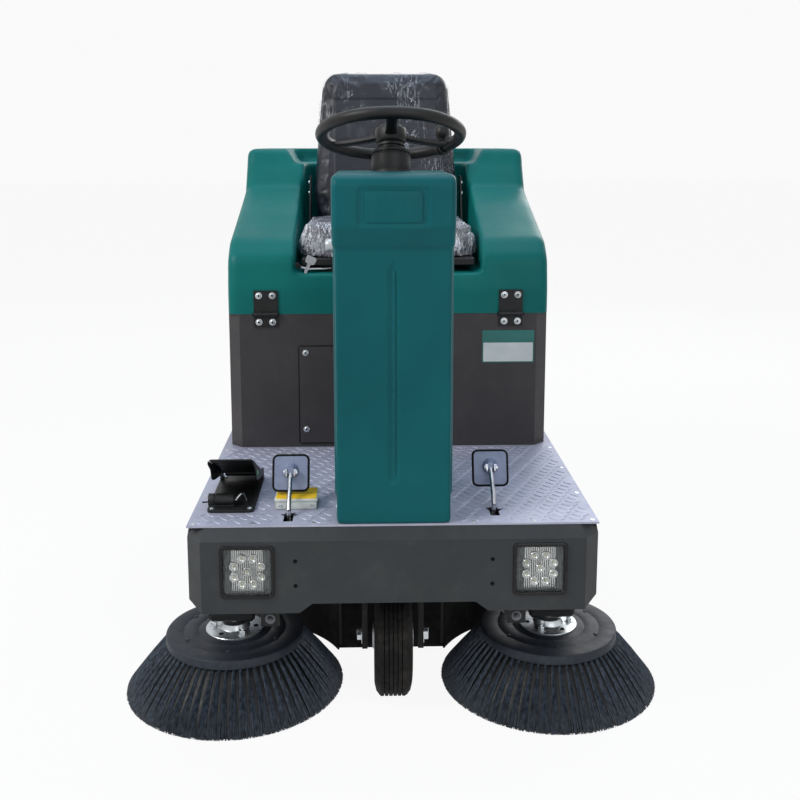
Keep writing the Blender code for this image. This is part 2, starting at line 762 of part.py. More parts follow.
def steering_wheel():
    """Rim, three flat spokes and the boss that the horn button sits in."""
    steps = 12
    ring = []
    for step in range(steps):
        angle = math.pi / 2 - 2 * math.pi * step / steps
        ring.append((STEERING_RADIUS + STEERING_GRIP * math.cos(angle), STEERING_GRIP * math.sin(angle)))
    rim = turned("steering_wheel", ring, STEERING_PLACE, "black_plastic", 36, closed=True)
    boss = [
        (0, BUTTON_POCKET), (BUTTON_RADIUS + 0.0004, BUTTON_POCKET), (BUTTON_RADIUS + 0.0004, 0.014),
        (BOSS_RADIUS, 0.014), (BOSS_RADIUS, BOSS_FOOT), (0, BOSS_FOOT),
    ]
    hub = turned("boss", boss, STEERING_PLACE, steps=24)
    for i, heading in enumerate((-90, 30, 150)):
        spoke = box(f"spoke_{i}", (BOSS_RADIUS - 0.005, STEERING_RADIUS), (-0.014, 0.014), (-0.008, 0.002))
        spoke.matrix_local = STEERING_PLACE @ Matrix.Rotation(math.radians(heading), 4, "Z")
        join(rim, spoke)
    return join(rim, hub)


def horn_button():
    foot = BUTTON_POCKET + BUTTON_TRAVEL + GAP
    profile = [(0, 0.022), (0.020, 0.022), (BUTTON_RADIUS, 0.019), (BUTTON_RADIUS, foot), (0, foot)]
    return turned("horn_button", profile, STEERING_PLACE, "black_plastic", 24)


KNOB_HEADING = math.radians(38)


def spinner_knob():
    """The knob on the rim that one hand turns the wheel by."""
    base = STEERING_GRIP + GAP
    profile = [
        (0, base + 0.040), (0.012, base + 0.038), (0.017, base + 0.028), (0.015, base + 0.012),
        (0.009, base), (0, base),
    ]
    middle = (STEERING_RADIUS * math.cos(KNOB_HEADING), STEERING_RADIUS * math.sin(KNOB_HEADING), 0)
    return turned("spinner_knob", profile, STEERING_PLACE @ Matrix.Translation(middle), "black_plastic", 16)


FORK_INSIDE = 0.056
FORK_CHEEK = 0.012
FORK_CROWN = (0.290, 0.305)


def steer_fork():
    """Two cheeks, the crown above the tyre and the stem that turns in the steering head."""
    depth = FRONT_WHEEL_DEPTH
    outside = FORK_INSIDE + FORK_CHEEK
    fork = box("steer_fork", (-outside, outside), (depth - 0.035, depth + 0.035), FORK_CROWN, "black_metal")
    for word, side in SIDES.items():
        cheek = box(
            f"cheek_{word}", span(side, FORK_INSIDE, outside), (depth - 0.025, depth + 0.025),
            (FRONT_WHEEL_RADIUS - 0.022, FORK_CROWN[0] + 0.005),
        )
        join(fork, cheek)
    stem_top = DECK_TOP - GAP
    return join(fork, cylinder("stem", "Z", (0, depth), STEM_RADIUS, (FORK_CROWN[1] - 0.005, stem_top)))


def wheel(name, radius, width, rim_radius, bore, axle_reach, place, steps=36):
    """A hub on its axle line and the solid tyre around it."""
    half = width / 2
    inner = half - 0.006
    if bore:
        hub_profile = [(bore, inner), (rim_radius, inner), (rim_radius, -inner), (bore, -inner)]
    else:
        hub_profile = [
            (0, axle_reach), (0.010, axle_reach), (0.010, inner), (rim_radius, inner - 0.004),
            (rim_radius, -inner + 0.004), (0.010, -inner), (0.010, -axle_reach), (0, -axle_reach),
        ]
    hub = turned(f"{name}_hub", hub_profile, place, "steel", steps, closed=bool(bore))
    tread = [
        (rim_radius + GAP, half - 0.012), (radius - 0.030, half), (radius - 0.010, half - 0.004),
        (radius, half - 0.018), (radius, -half + 0.018), (radius - 0.010, -half + 0.004),
        (radius - 0.030, -half), (rim_radius + GAP, -half + 0.012),
    ]
    tyre = turned(f"{name}_tyre", tread, place, "rubber", steps, closed=True)
    return hub, tyre


REAR_AXLE_RADIUS = 0.012
REAR_PLATE = (0.285, 0.297)
REAR_WHEEL_X = 0.352


def rear_wheels():
    """Each rear wheel with the plate and stub axle that hang from its rail."""
    for word, side in SIDES.items():
        depth, height = REAR_WHEEL_DEPTH, REAR_WHEEL_RADIUS
        plate = box(
            f"rear_axle_{word}", span(side, *REAR_PLATE), (depth - 0.045, depth + 0.045),
            (height - 0.035, UNDER_RAIL), "graphite",
        )
        reach = REAR_WHEEL_X + REAR_WHEEL_WIDTH / 2
        stub = cylinder(
            f"stub_{word}", "X", (depth, height), REAR_AXLE_RADIUS, span(side, REAR_PLATE[0] + 0.002, reach)
        )
        join(plate, stub)
        middle = (side * REAR_WHEEL_X, depth, height)
        pieces = wheel(
            f"rear_{word}", REAR_WHEEL_RADIUS, REAR_WHEEL_WIDTH, 0.080, REAR_AXLE_RADIUS + GAP, 0,
            along("X", (0, 0, 0)),
        )
        for piece in pieces:
            piece.location = middle
        on_joint(f"rear_wheel_{word}_spin", middle, *pieces)


# Side brushes ------------------------------------------------------------------------------------

DISC_BOTTOM = 0.112
DISC_TOP = 0.130
MOTOR_BOTTOM = 0.165
MOTOR_TOP = 0.2347
MOTOR_HALF = 0.050
HUB_PLATE_RADIUS = 0.065


def brush_arm(word, side):
    """The arm from its pin on the rail down to the plate that the motor hangs under."""
    depth, height = BRUSH_PIVOT
    low, high = RAIL_OUTSIDE + GAP, RAIL_OUTSIDE + GAP + ARM_WIDTH
    seat_z = MOTOR_TOP + GAP
    profile = [
        (BRUSH_CENTRE[1] - MOTOR_HALF, seat_z),
        (BRUSH_CENTRE[1] + MOTOR_HALF, seat_z),
        (depth + 0.016, height - 0.014),
        (depth - 0.012, height + 0.012),
        (BRUSH_CENTRE[1] + MOTOR_HALF - 0.008, seat_z + 0.010),
        (BRUSH_CENTRE[1] - MOTOR_HALF, seat_z + 0.010),
    ]
    arm = outline(f"brush_arm_{word}", "X", profile, span(side, low, high), "black_metal")
    join(arm, cylinder(f"eye_{word}", "X", BRUSH_PIVOT, 0.022, span(side, low, high), steps=20))
    bore = cylinder(
        f"eye_bore_{word}", "X", BRUSH_PIVOT, BRUSH_PIN_RADIUS + GAP, span(side, low - 0.01, high + 0.02),
        steps=16,
    )
    return cut(arm, bore)


def side_brushes():
    for word, side in SIDES.items():
        x, depth = side * BRUSH_CENTRE[0], BRUSH_CENTRE[1]
        motor = box(
            f"brush_motor_{word}", (x - MOTOR_HALF, x + MOTOR_HALF), (depth - MOTOR_HALF, depth + MOTOR_HALF),
            (MOTOR_BOTTOM, MOTOR_TOP), "black_metal", 0.006,
        )
        disc_profile = [
            (0, MOTOR_BOTTOM - GAP), (0.012, MOTOR_BOTTOM - GAP), (0.012, DISC_TOP + 0.020),
            (0.030, DISC_TOP + 0.018), (0.030, DISC_TOP + 0.006), (HUB_PLATE_RADIUS, DISC_TOP + 0.006),
            (HUB_PLATE_RADIUS, DISC_TOP), (BRUSH_DISC_RADIUS, DISC_TOP - 0.002),
            (BRUSH_DISC_RADIUS, DISC_BOTTOM), (0, DISC_BOTTOM),
        ]
        place = along("Z", (x, depth, 0))
        disc = turned(f"brush_disc_{word}", disc_profile, place, "black_plastic")
        top, tip = DISC_BOTTOM - GAP, BRUSH_TIP_RADIUS
        ring = [
            (BRUSH_DISC_RADIUS - 0.002, top), (tip - 0.040, 0.062), (tip, FLOOR_CLEARANCE + 0.003),
            (tip - 0.004, FLOOR_CLEARANCE), (tip - 0.075, FLOOR_CLEARANCE), (BRUSH_DISC_RADIUS - 0.058, top),
        ]
        bristles = turned(f"brush_bristles_{word}", ring, place, "bristle", closed=True)
        arm = brush_arm(word, side)
        lift = on_joint(f"brush_{word}_lift", (side * RAIL_OUTSIDE, *BRUSH_PIVOT), arm, motor)
        spin = on_joint(f"brush_{word}_spin", (x, depth, DISC_TOP), disc, bristles)
        spin.parent = lift
        spin.location = spin.location - lift.location


# Broom chamber and hopper ------------------------------------------------------------------------

HOUSING_HALF_WIDTH = 0.300
BROOM_TO_HOUSING = 0.028
HOUSING_DEPTH = (
    BROOM_DEPTH - BROOM_RADIUS - BROOM_TO_HOUSING,
    BROOM_DEPTH + BROOM_RADIUS + BROOM_TO_HOUSING,
)
HOUSING_BOTTOM = 0.060
FLAP_HINGE = (HOUSING_DEPTH[0] - 0.0065, 0.096)


def broom_chamber():
    """The open-bottomed housing, the broom in it, and the front flap that a pedal lifts."""
    low, high = HOUSING_DEPTH
    half = HOUSING_HALF_WIDTH
    housing = box("broom_housing", (-half, half), HOUSING_DEPTH, (HOUSING_BOTTOM, UNDER_RAIL), "black_metal")
    hollow = box(
        "chamber", (-half + SHEET, half - SHEET), (low + SHEET, high - SHEET),
        (HOUSING_BOTTOM - 0.02, UNDER_RAIL - SHEET),
    )
    mouth = box("throw_mouth", (-0.240, 0.240), (high - 0.02, high + 0.02), (0.130, 0.300))
    cut(housing, hollow, mouth)
    end = half - SHEET - GAP
    core, bristle_end = 0.020, end - 0.010
    profile = [
        (0, end), (core, end), (core, bristle_end), (BROOM_RADIUS, bristle_end),
        (BROOM_RADIUS, -bristle_end), (core, -bristle_end), (core, -end), (0, -end),
    ]
    middle = (0, BROOM_DEPTH, BROOM_RADIUS + FLOOR_CLEARANCE)
    broom = turned("main_broom", profile, along("X", middle), "bristle", 32)
    on_joint("main_broom_spin", middle, broom)
    depth, height = FLAP_HINGE
    flap = cylinder("broom_flap", "X", FLAP_HINGE, 0.006, (-half + 0.010, half - 0.010), "rubber", 12)
    sheet = box("flap_sheet", (-half + 0.010, half - 0.010), (depth - 0.002, depth + 0.002), (0.015, height))
    join(flap, sheet)
    on_joint("flap_lift", (0, *FLAP_HINGE), flap)
    box("front_skirt", (-0.125, 0.125), (0.310, 0.314), (0.020, DECK_BOTTOM - GAP), "rubber")


HOPPER_HALF_WIDTH = 0.255
HOPPER_DEPTH = (HOUSING_DEPTH[1] + 0.015, BODY_REAR - 0.005)
HOPPER_BOTTOM = 0.060
HOPPER_WALL = 0.004
HANDLE_HALF = 0.090


def dust_hopper():
    """The drawer bin, open above and in front, that slides out on the rails' lower flanges."""
    flange_z = (RAIL_BOTTOM + RAIL_WALL + GAP, RAIL_BOTTOM + RAIL_WALL + GAP + 0.005)
    half, wall = HOPPER_HALF_WIDTH, HOPPER_WALL
    low, high = HOPPER_DEPTH
    hopper = box("dust_hopper", (-half, half), HOPPER_DEPTH, (HOPPER_BOTTOM, flange_z[1]), "black_metal")
    reach = RAIL_OUTSIDE - RAIL_WALL - 0.002
    join(hopper, box("flange", (-reach, reach), (low, high), flange_z))
    bin_space = box(
        "bin_space", (-half + wall, half - wall), (low + wall, high - wall), (HOPPER_BOTTOM + wall, 0.45)
    )
    lip = box("bin_mouth", (-half + wall, half - wall), (low - 0.01, low + 0.01), (0.125, 0.45))
    cut(hopper, bin_space, lip)
    bar_z, bar_depth = (0.240, 0.258), (high + 0.030, high + 0.044)
    join(hopper, box("handle_bar", (-HANDLE_HALF, HANDLE_HALF), bar_depth, bar_z))
    for word, side in SIDES.items():
        post = box(
            f"handle_post_{word}", span(side, HANDLE_HALF - 0.014, HANDLE_HALF - 0.001),
            (high - wall / 2, high + 0.040), (bar_z[0] + 0.001, bar_z[1] - 0.001),
        )
        join(hopper, post)
    on_joint("hopper_slide", (0, high, bar_z[0]), hopper)


# Controls ----------------------------------------------------------------------------------------

PAD_LEAN = math.radians(20)
PAD_SETBACK = 0.077
PAD_HEIGHT = 0.509


def pedal(name, pivot):
    """A foot pedal: hub and pin below the deck, a bent arm through the slot, a square pad."""
    x, depth = pivot
    height = PEDAL_PIVOT_HEIGHT
    pad_depth = depth + PAD_SETBACK
    path = [
        (depth - 0.005, height), (depth + 0.005, height), (depth + 0.005, DECK_TOP + 0.008),
        (pad_depth, PAD_HEIGHT - 0.009), (pad_depth, PAD_HEIGHT), (depth - 0.005, DECK_TOP + 0.014),
    ]
    arm = outline(name, "X", path, (x - 0.004, x + 0.004), "steel")
    hub = cylinder(
        f"{name}_hub", "X", (depth, height), 0.010, (x - PEDAL_HUB_HALF, x + PEDAL_HUB_HALF), steps=16
    )
    pin_half = PEDAL_HUB_HALF + GAP + LUG_THICKNESS
    pin = cylinder(
        f"{name}_pin", "X", (depth, height), PEDAL_PIN_RADIUS, (x - pin_half, x + pin_half), steps=16
    )
    pad_half = PEDAL_PAD / 2
    pad = box(f"{name}_pad", (-pad_half, pad_half), (-0.003, 0.003), (-pad_half, pad_half), bevel=0.0015)
    pad.matrix_local = Matrix.Translation((x, pad_depth, PAD_HEIGHT)) @ Matrix.Rotation(PAD_LEAN, 4, "X")
    join(arm, hub, pin, pad)
    on_joint(f"{name}_turn", (x, depth, height), arm)


TREADLE_X = (-0.395, -0.295)
TREADLE_HEEL = (0.305, 0.4600)
TREADLE_TOE = (0.115, 0.5500)


def accelerator():
    """The treadle, hinged at its heel, and the base with the lugs and the sensor barrel."""
    lug, hub_radius, pin_radius = 0.007, 0.009, 0.004
    low, high = TREADLE_X
    base_top = ON_DECK + 0.006
    base = box("accelerator_base", TREADLE_X, (0.095, 0.330), (ON_DECK, base_top), "black_metal")
    for i, x in enumerate(((low, low + lug), (high - lug, high))):
        lug_depth = (TREADLE_HEEL[0] - 0.010, TREADLE_HEEL[0] + 0.010)
        join(base, box(f"heel_lug_{i}", x, lug_depth, (ON_DECK, TREADLE_HEEL[1] + 0.009)))
    join(base, cylinder("sensor", "X", (0.125, base_top + 0.012), 0.014, (low, low + 0.060), steps=16))
    cut(base, cylinder("heel_bore", "X", TREADLE_HEEL, pin_radius + GAP, (low - 0.01, high + 0.01), steps=12))
    inside = (low + lug + GAP, high - lug - GAP)
    run = (Vector(TREADLE_TOE) - Vector(TREADLE_HEEL)).normalized()
    up = Vector((-run.y, run.x)) if run.x > 0 else Vector((run.y, -run.x))
    heel, toe = Vector(TREADLE_HEEL), Vector(TREADLE_TOE)
    half_bar = up * 0.004
    bar = [tuple(heel - half_bar), tuple(heel + half_bar), tuple(toe + half_bar), tuple(toe - half_bar)]
    treadle = outline("accelerator_treadle", "X", bar, inside, "black_metal")
    hub = cylinder("heel_hub", "X", TREADLE_HEEL, hub_radius, inside, steps=16)
    pin = cylinder("heel_pin", "X", TREADLE_HEEL, pin_radius, (low, high), steps=12)
    join(treadle, hub, pin)
    on_joint("accelerator_turn", (0, *TREADLE_HEEL), treadle)


KEY_PLACE = (0.200, 0.998)


def dash_and_key():
    """The dash plate behind the column's head, and the key switch on the column's side."""
    plate = (COLUMN_REAR + GAP, COLUMN_REAR + 0.014)
    box("dash_panel", (-0.090, 0.090), plate, (1.000, 1.105), "black_plastic", 0.004)
    face = COLUMN_HALF_WIDTH + GAP
    switch_end = face + 0.021
    cylinder("key_switch", "X", KEY_PLACE, 0.014, (-switch_end, -face), "black_plastic", 20)
    start = switch_end + GAP
    key = box("ignition_key", (-start - 0.008, -start), (0.198, 0.202), (0.991, 1.005), "steel")
    grip = cylinder("key_bow", "X", KEY_PLACE, 0.012, (-start - 0.030, -start - 0.006), steps=16)
    join(key, grip)
    on_joint("ignition_key_turn", (-start, *KEY_PLACE), key)


# Assembly ----------------------------------------------------------------------------------------


def cover_and_seat():
    cover = upper_cover()
    leaves = []
    for word, side in SIDES.items():
        hinge_leaf(f"hinge_lower_{word}", side * HINGE_X, False)
        leaves.append(hinge_leaf(f"hinge_upper_{word}", side * HINGE_X, True))
    track, pan, cushion, back = seat()
    tilt = on_joint("cover_tilt", (0, *COVER_HINGE), cover, *leaves, track)
    slide = on_joint("seat_slide", (0, 0.620, 0.905), pan, cushion, back)
    slide.parent = tilt
    slide.location = slide.location - tilt.location


def steering():
    column_cover()
    steering_support()
    steering_jacket()
    centre = (0, *STEERING_CENTRE)
    on_joint("steering_turn", centre, steering_shaft(), steering_wheel(), horn_button(), spinner_knob())
    fork = steer_fork()
    middle = (0, FRONT_WHEEL_DEPTH, FRONT_WHEEL_RADIUS)
    hub, tyre = wheel(
        "front", FRONT_WHEEL_RADIUS, FRONT_WHEEL_WIDTH, 0.075, 0, FORK_INSIDE - GAP, along("X", middle)
    )
    turn = on_joint("fork_steer", (0, FRONT_WHEEL_DEPTH, RAIL_TOP), fork)
    spin = on_joint("front_wheel_spin", middle, hub, tyre)
    spin.parent = turn
    spin.location = spin.location - turn.location


def smooth_round_pieces():
    for obj in PARTS.objects:
        if obj.type == "MESH":
            obj.data.shade_smooth()
            obj.data.set_sharp_from_angle(angle=math.radians(35))


frame_rails()
frame_crossmember()
deck_plate()
front_bumper()
headlamps()
rear_bumper()
body_panels()
access_panel()
inside_body()
cover_and_seat()
steering()
rear_wheels()
side_brushes()
broom_chamber()
dust_hopper()
pedal("brake_pedal", BRAKE_PIVOT)
pedal("flap_pedal", FLAP_PIVOT)
accelerator()
dash_and_key()
smooth_round_pieces()
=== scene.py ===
"""Ride-on sweeper, its visible surfaces: moulded covers, tread plate, sheet metal, brushes, seat and
controls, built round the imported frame. Metres, +Z up, the front faces -Y, operator's left is +X."""

import json
import math
import random
from itertools import product

import bmesh
import bpy
from mathutils import Matrix, Vector, noise


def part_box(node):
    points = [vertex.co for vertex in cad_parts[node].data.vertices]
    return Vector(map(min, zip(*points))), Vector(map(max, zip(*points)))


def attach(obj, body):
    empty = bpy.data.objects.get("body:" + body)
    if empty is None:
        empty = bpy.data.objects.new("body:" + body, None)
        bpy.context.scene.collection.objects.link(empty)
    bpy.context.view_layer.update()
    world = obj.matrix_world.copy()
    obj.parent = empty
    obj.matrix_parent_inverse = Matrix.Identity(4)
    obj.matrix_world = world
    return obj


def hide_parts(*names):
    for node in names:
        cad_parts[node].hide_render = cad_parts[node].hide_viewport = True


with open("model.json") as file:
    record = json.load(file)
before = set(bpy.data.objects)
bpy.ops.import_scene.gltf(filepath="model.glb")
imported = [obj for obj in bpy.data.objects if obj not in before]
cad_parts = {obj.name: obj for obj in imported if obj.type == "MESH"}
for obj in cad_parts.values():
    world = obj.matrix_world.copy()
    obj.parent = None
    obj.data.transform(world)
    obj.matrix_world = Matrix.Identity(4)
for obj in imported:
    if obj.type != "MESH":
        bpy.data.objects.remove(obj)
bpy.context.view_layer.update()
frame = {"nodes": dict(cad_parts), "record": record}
WELD_SEED, BRUSH_SEED, BROOM_SEED, BOOT_SEED = 7, 11, 23, 5
random.seed(WELD_SEED)

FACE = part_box("front_bumper")[0].y          # the bumper's front face
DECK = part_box("deck_plate")[1].z            # the deck's walking surface
SIDES = (("left", 1), ("right", -1))


def at(depth):
    """World Y of a distance behind the bumper's front face."""
    return FACE + depth


# Mesh tools --------------------------------------------------------------------------------------


def in_scene(name, bm):
    """An object made of a bmesh and put into the scene."""
    mesh = bpy.data.meshes.new(name)
    bm.to_mesh(mesh)
    bm.free()
    obj = bpy.data.objects.new(name, mesh)
    bpy.context.scene.collection.objects.link(obj)
    return obj


def evaluated(obj):
    """What an object's modifiers make of it, as a bmesh."""
    graph = bpy.context.evaluated_depsgraph_get()
    made = bpy.data.meshes.new_from_object(obj.evaluated_get(graph))
    out = bmesh.new()
    out.from_mesh(made)
    bpy.data.meshes.remove(made)
    return out


def discard(obj):
    mesh = obj.data
    bpy.data.objects.remove(obj)
    bpy.data.meshes.remove(mesh)


def piece(name, bm, finish, body, replaces=(), smooth=35):
    """A visible piece made of a bmesh, riding on a body."""
    obj = in_scene(name, bm)
    mesh = obj.data
    for one in finish if isinstance(finish, (list, tuple)) else (finish,):
        mesh.materials.append(one)
    if smooth:
        limit = math.radians(smooth)
        mesh.polygons.foreach_set("use_smooth", [True] * len(mesh.polygons))
        work = bmesh.new()
        work.from_mesh(mesh)
        for edge in work.edges:
            edge.smooth = edge.calc_face_angle(0) < limit
        work.to_mesh(mesh)
        work.free()
    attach(obj, body)
    if replaces:
        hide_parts(*replaces)
    return obj


def shift(x=0.0, y=0.0, z=0.0):
    return Matrix.Translation((x, y, z))


def turn(degrees, axis):
    return Matrix.Rotation(math.radians(degrees), 4, axis)


def put(bm, verts, place):
    bmesh.ops.transform(bm, matrix=place, verts=verts)


def index_faces(bm, before, index):
    for face in bm.faces:
        if face not in before:
            face.material_index = index


def around(count):
    """Equally spaced angles of a full turn."""
    return [2 * math.pi * k / count for k in range(count)]


def loft(bm, rings, closed=False):
    """Faces between each ring of points and the next. closed joins the last ring to the first."""
    for low, high in zip(rings, rings[1:] + rings[:1] if closed else rings[1:]):
        for i in range(len(low)):
            j = (i + 1) % len(low)
            bm.faces.new((low[i], low[j], high[j], high[i]))


def settle(bm, before, made, place, mat):
    """Puts new points in place, turns their faces outward and gives them a material."""
    if place is not None:
        put(bm, made, place)
    bmesh.ops.recalc_face_normals(bm, faces=[f for f in bm.faces if f not in before])
    index_faces(bm, before, mat)


def add_box(bm, x, y, z, place=None, bevel=0.0, segments=2, mat=0):
    """A box between limits, with its edges rounded."""
    before = set(bm.faces)
    made = bmesh.ops.create_cube(bm, size=1.0)["verts"]
    size = Matrix.Diagonal((x[1] - x[0], y[1] - y[0], z[1] - z[0], 1))
    middle = shift((x[0] + x[1]) / 2, (y[0] + y[1]) / 2, (z[0] + z[1]) / 2)
    put(bm, made, middle @ size)
    if bevel:
        edges = list({e for v in made for e in v.link_edges})
        bmesh.ops.bevel(
            bm, geom=edges, offset=bevel, segments=segments, profile=0.5, affect="EDGES", clamp_overlap=True
        )
        made = list({v for f in bm.faces if f not in before for v in f.verts})
    if place is not None:
        put(bm, made, place)
    index_faces(bm, before, mat)


def add_lathe(bm, profile, place=None, steps=48, closed=False, mat=0):
    """A profile of (radius, height) turned about Z. Points on the axis close the shape."""
    before = set(bm.faces)
    rings = []
    made = []
    for radius, height in profile:
        if radius < 1e-6:
            ring = [bm.verts.new((0, 0, height))]
        else:
            ring = [bm.verts.new((radius * math.cos(a), radius * math.sin(a), height)) for a in around(steps)]
        rings.append(ring)
        made += ring
    pairs = list(zip(rings, rings[1:]))
    if closed:
        pairs.append((rings[-1], rings[0]))
    for low, high in pairs:
        for i in range(steps):
            j = (i + 1) % steps
            if len(low) == 1 and len(high) == 1:
                continue
            if len(low) == 1:
                corners = (low[0], high[j], high[i])
            elif len(high) == 1:
                corners = (low[i], low[j], high[0])
            else:
                corners = (low[i], low[j], high[j], high[i])
            bm.faces.new(corners)
    settle(bm, before, made, place, mat)
    return made


def frames_along(points, closed=False):
    """A frame at each point whose Z runs along the path, turning as little as it can."""
    count = len(points)
    frames = []
    normal = None
    for i, point in enumerate(points):
        if closed:
            tangent = (points[(i + 1) % count] - points[i - 1]).normalized()
        else:
            tangent = (points[min(i + 1, count - 1)] - points[max(i - 1, 0)]).normalized()
        if normal is None:
            normal = tangent.orthogonal().normalized()
        normal = (normal - tangent * normal.dot(tangent)).normalized()
        frames.append((point, normal, tangent.cross(normal)))
    return frames


def add_sweep(bm, points, section, closed=False, place=None, mat=0, first=None):
    """A closed section of (u, v) pairs carried along a path. section may be a function of the index."""
    before = set(bm.faces)
    rings = []
    made = []
    for i, (point, u_axis, v_axis) in enumerate(frames_along(points, closed)):
        if first is not None:
            tangent = u_axis.cross(v_axis)
            u_axis = (first - tangent * first.dot(tangent)).normalized()
            v_axis = tangent.cross(u_axis)
        shape = section(i) if callable(section) else section
        ring = [bm.verts.new(point + u_axis * u + v_axis * v) for u, v in shape]
        rings.append(ring)
        made += ring
    loft(bm, rings, closed)
    if not closed:
        bm.faces.new(rings[0][::-1])
        bm.faces.new(rings[-1])
    settle(bm, before, made, place, mat)


def circle(radius, steps=12):
    return [(radius * math.cos(a), radius * math.sin(a)) for a in around(steps)]


def rounded_outline(points, radius, steps=6):
    """A closed outline with each corner turned into an arc. radius may be one value or one a corner."""
    out = []
    count = len(points)
    for i, point in enumerate(points):
        here = Vector(point)
        back = Vector(points[i - 1]) - here
        ahead = Vector(points[(i + 1) % count]) - here
        size = radius[i] if isinstance(radius, (list, tuple)) else radius
        reach_limit = min(back.length, ahead.length) * 0.49
        back.normalize()
        ahead.normalize()
        angle = back.angle(ahead)
        if size <= 0 or angle > math.radians(178):
            out.append(tuple(here))
            continue
        reach = min(size / math.tan(angle / 2), reach_limit)
        size = reach * math.tan(angle / 2)
        centre = here + (back + ahead).normalized() * (size / math.sin(angle / 2))
        start = here + back * reach - centre
        sweep = math.pi - angle
        sign = 1 if back.x * ahead.y - back.y * ahead.x < 0 else -1
        for k in range(steps + 1):
            a = sign * sweep * k / steps
            rotated = Vector((
                start.x * math.cos(a) - start.y * math.sin(a),
                start.x * math.sin(a) + start.y * math.cos(a),
            ))
            out.append(tuple(centre + rotated))
    return out


def add_prism(bm, outline, low, high, axis="X", bevel=0.0, segments=2, place=None, mat=0):
    """An outline drawn across an axis with a thickness along it. The outline is (Y, Z) for X, (X, Z)
    for Y and (X, Y) for Z."""
    before = set(bm.faces)

    def corner(point, along):
        a, b = point
        return {"X": (along, a, b), "Y": (a, along, b), "Z": (a, b, along)}[axis]

    near = [bm.verts.new(corner(p, low)) for p in outline]
    far = [bm.verts.new(corner(p, high)) for p in outline]
    bm.faces.new(near)
    bm.faces.new(far[::-1])
    for i in range(len(outline)):
        j = (i + 1) % len(outline)
        bm.faces.new((near[j], near[i], far[i], far[j]))
    faces = [f for f in bm.faces if f not in before]
    bmesh.ops.recalc_face_normals(bm, faces=faces)
    if bevel:
        ends = (set(near), set(far))
        rim = list({e for v in near + far for e in v.link_edges if any(set(e.verts) <= end for end in ends)})
        bmesh.ops.bevel(
            bm, geom=rim, offset=bevel, segments=segments, profile=0.5, affect="EDGES", clamp_overlap=True
        )
    if place is not None:
        put(bm, list({v for f in bm.faces if f not in before for v in f.verts}), place)
    index_faces(bm, before, mat)


def oblong(x0, x1, z0, z1, radius, steps=6):
    """A rectangle between limits, with rounded corners."""
    return rounded_outline([(x0, z0), (x1, z0), (x1, z1), (x0, z1)], radius, steps)


def square(x, z, half, radius, steps=6):
    """A rounded square about a point."""
    return oblong(x - half, x + half, z - half, z + half, radius, steps)


def add_frame(bm, layers, mat=0):
    """A closed band through outlines that have as many points each, given with their depths."""
    before = set(bm.faces)
    rings = [[bm.verts.new((x, depth, z)) for x, z in outline] for outline, depth in layers]
    loft(bm, rings, closed=True)
    settle(bm, before, [], None, mat)


def facing(point, direction):
    """A place at a point whose Z runs along a direction."""
    return shift(*point) @ Vector(direction).to_track_quat("Z", "Y").to_matrix().to_4x4()


def add_dome_bolt(bm, point, direction, radius=0.008, height=0.0045, mat=0, socket=1):
    """A button-head screw with a hexagon socket and its washer."""
    place = facing(point, direction)
    washer = [(0.0, 0.0), (radius * 1.28, 0.0), (radius * 1.28, 0.0011), (radius * 1.02, 0.0013)]
    add_lathe(bm, washer + [(0.0, 0.0013)], place, 24, mat=mat)
    dome = [(radius, 0.0011), (radius * 0.985, 0.002), (radius * 0.86, height * 0.82)]
    dome += [(radius * 0.62, height), (radius * 0.46, height * 1.02)]
    dome += [(radius * 0.44, height * 0.45), (0.0, height * 0.42)]
    add_lathe(bm, [(0.0, 0.0009)] + [(radius, 0.0009)] + dome, place, 24, mat=mat)
    add_lathe(
        bm, [
            (0.0, height * 0.46), (radius * 0.42, height * 0.46), (radius * 0.42, height * 0.52),
            (0, height * 0.52)
        ],
        place, 6, mat=socket,
    )


def add_hex_bolt(bm, point, direction, across=0.013, height=0.0065, mat=0):
    """A hexagon head with its chamfer, on a washer."""
    place = facing(point, direction)
    r = across / 2 / math.cos(math.pi / 6)
    add_lathe(
        bm, [(0, 0), (across * 0.86, 0), (across * 0.9, 0.0003), (across * 0.9, 0.0015), (0, 0.0016)],
        place, 28, mat=mat,
    )
    add_lathe(
        bm, [(0, 0.0014), (r, 0.0014), (r, height - 0.001), (r * 0.9, height), (0, height + 0.0002)],
        place @ turn(17, "Z"), 6, mat=mat,
    )


def add_weld(bm, start, end, radius=0.0035, mat=0):
    """A fillet weld's row of overlapping ripples."""
    start, end = Vector(start), Vector(end)
    run = end - start
    count = max(int(run.length / 0.0035), 2)
    points = [start + run * i / count for i in range(count + 1)]
    sizes = [radius * (1 + 0.18 * math.sin(i * 2.1) + random.uniform(-0.08, 0.08)) for i in range(count + 1)]
    add_sweep(bm, points, lambda i: circle(sizes[i], 8), mat=mat)


def voxel(bm, size, smoothing, name="work"):
    """The solid remeshed into even quads, with its edges worn round."""
    obj = in_scene(name, bm)
    remesh = obj.modifiers.new("remesh", "REMESH")
    remesh.mode = "VOXEL"
    remesh.voxel_size = size
    smooth = obj.modifiers.new("smooth", "SMOOTH")
    smooth.factor = 0.5
    smooth.iterations = smoothing
    out = evaluated(obj)
    discard(obj)
    return out


def boolean(bm, cutters, operation="DIFFERENCE"):
    """The solid with each cutter taken from it, or joined to it."""
    made = [in_scene(f"solid_{k}", one) for k, one in enumerate([bm] + list(cutters))]
    base = made[0]
    for k, cutter in enumerate(made[1:]):
        modifier = base.modifiers.new(f"step_{k}", "BOOLEAN")
        modifier.operation = operation
        modifier.solver = "EXACT"
        modifier.object = cutter
    out = evaluated(base)
    for obj in made:
        discard(obj)
    return out


# Finishes ----------------------------------------------------------------------------------------


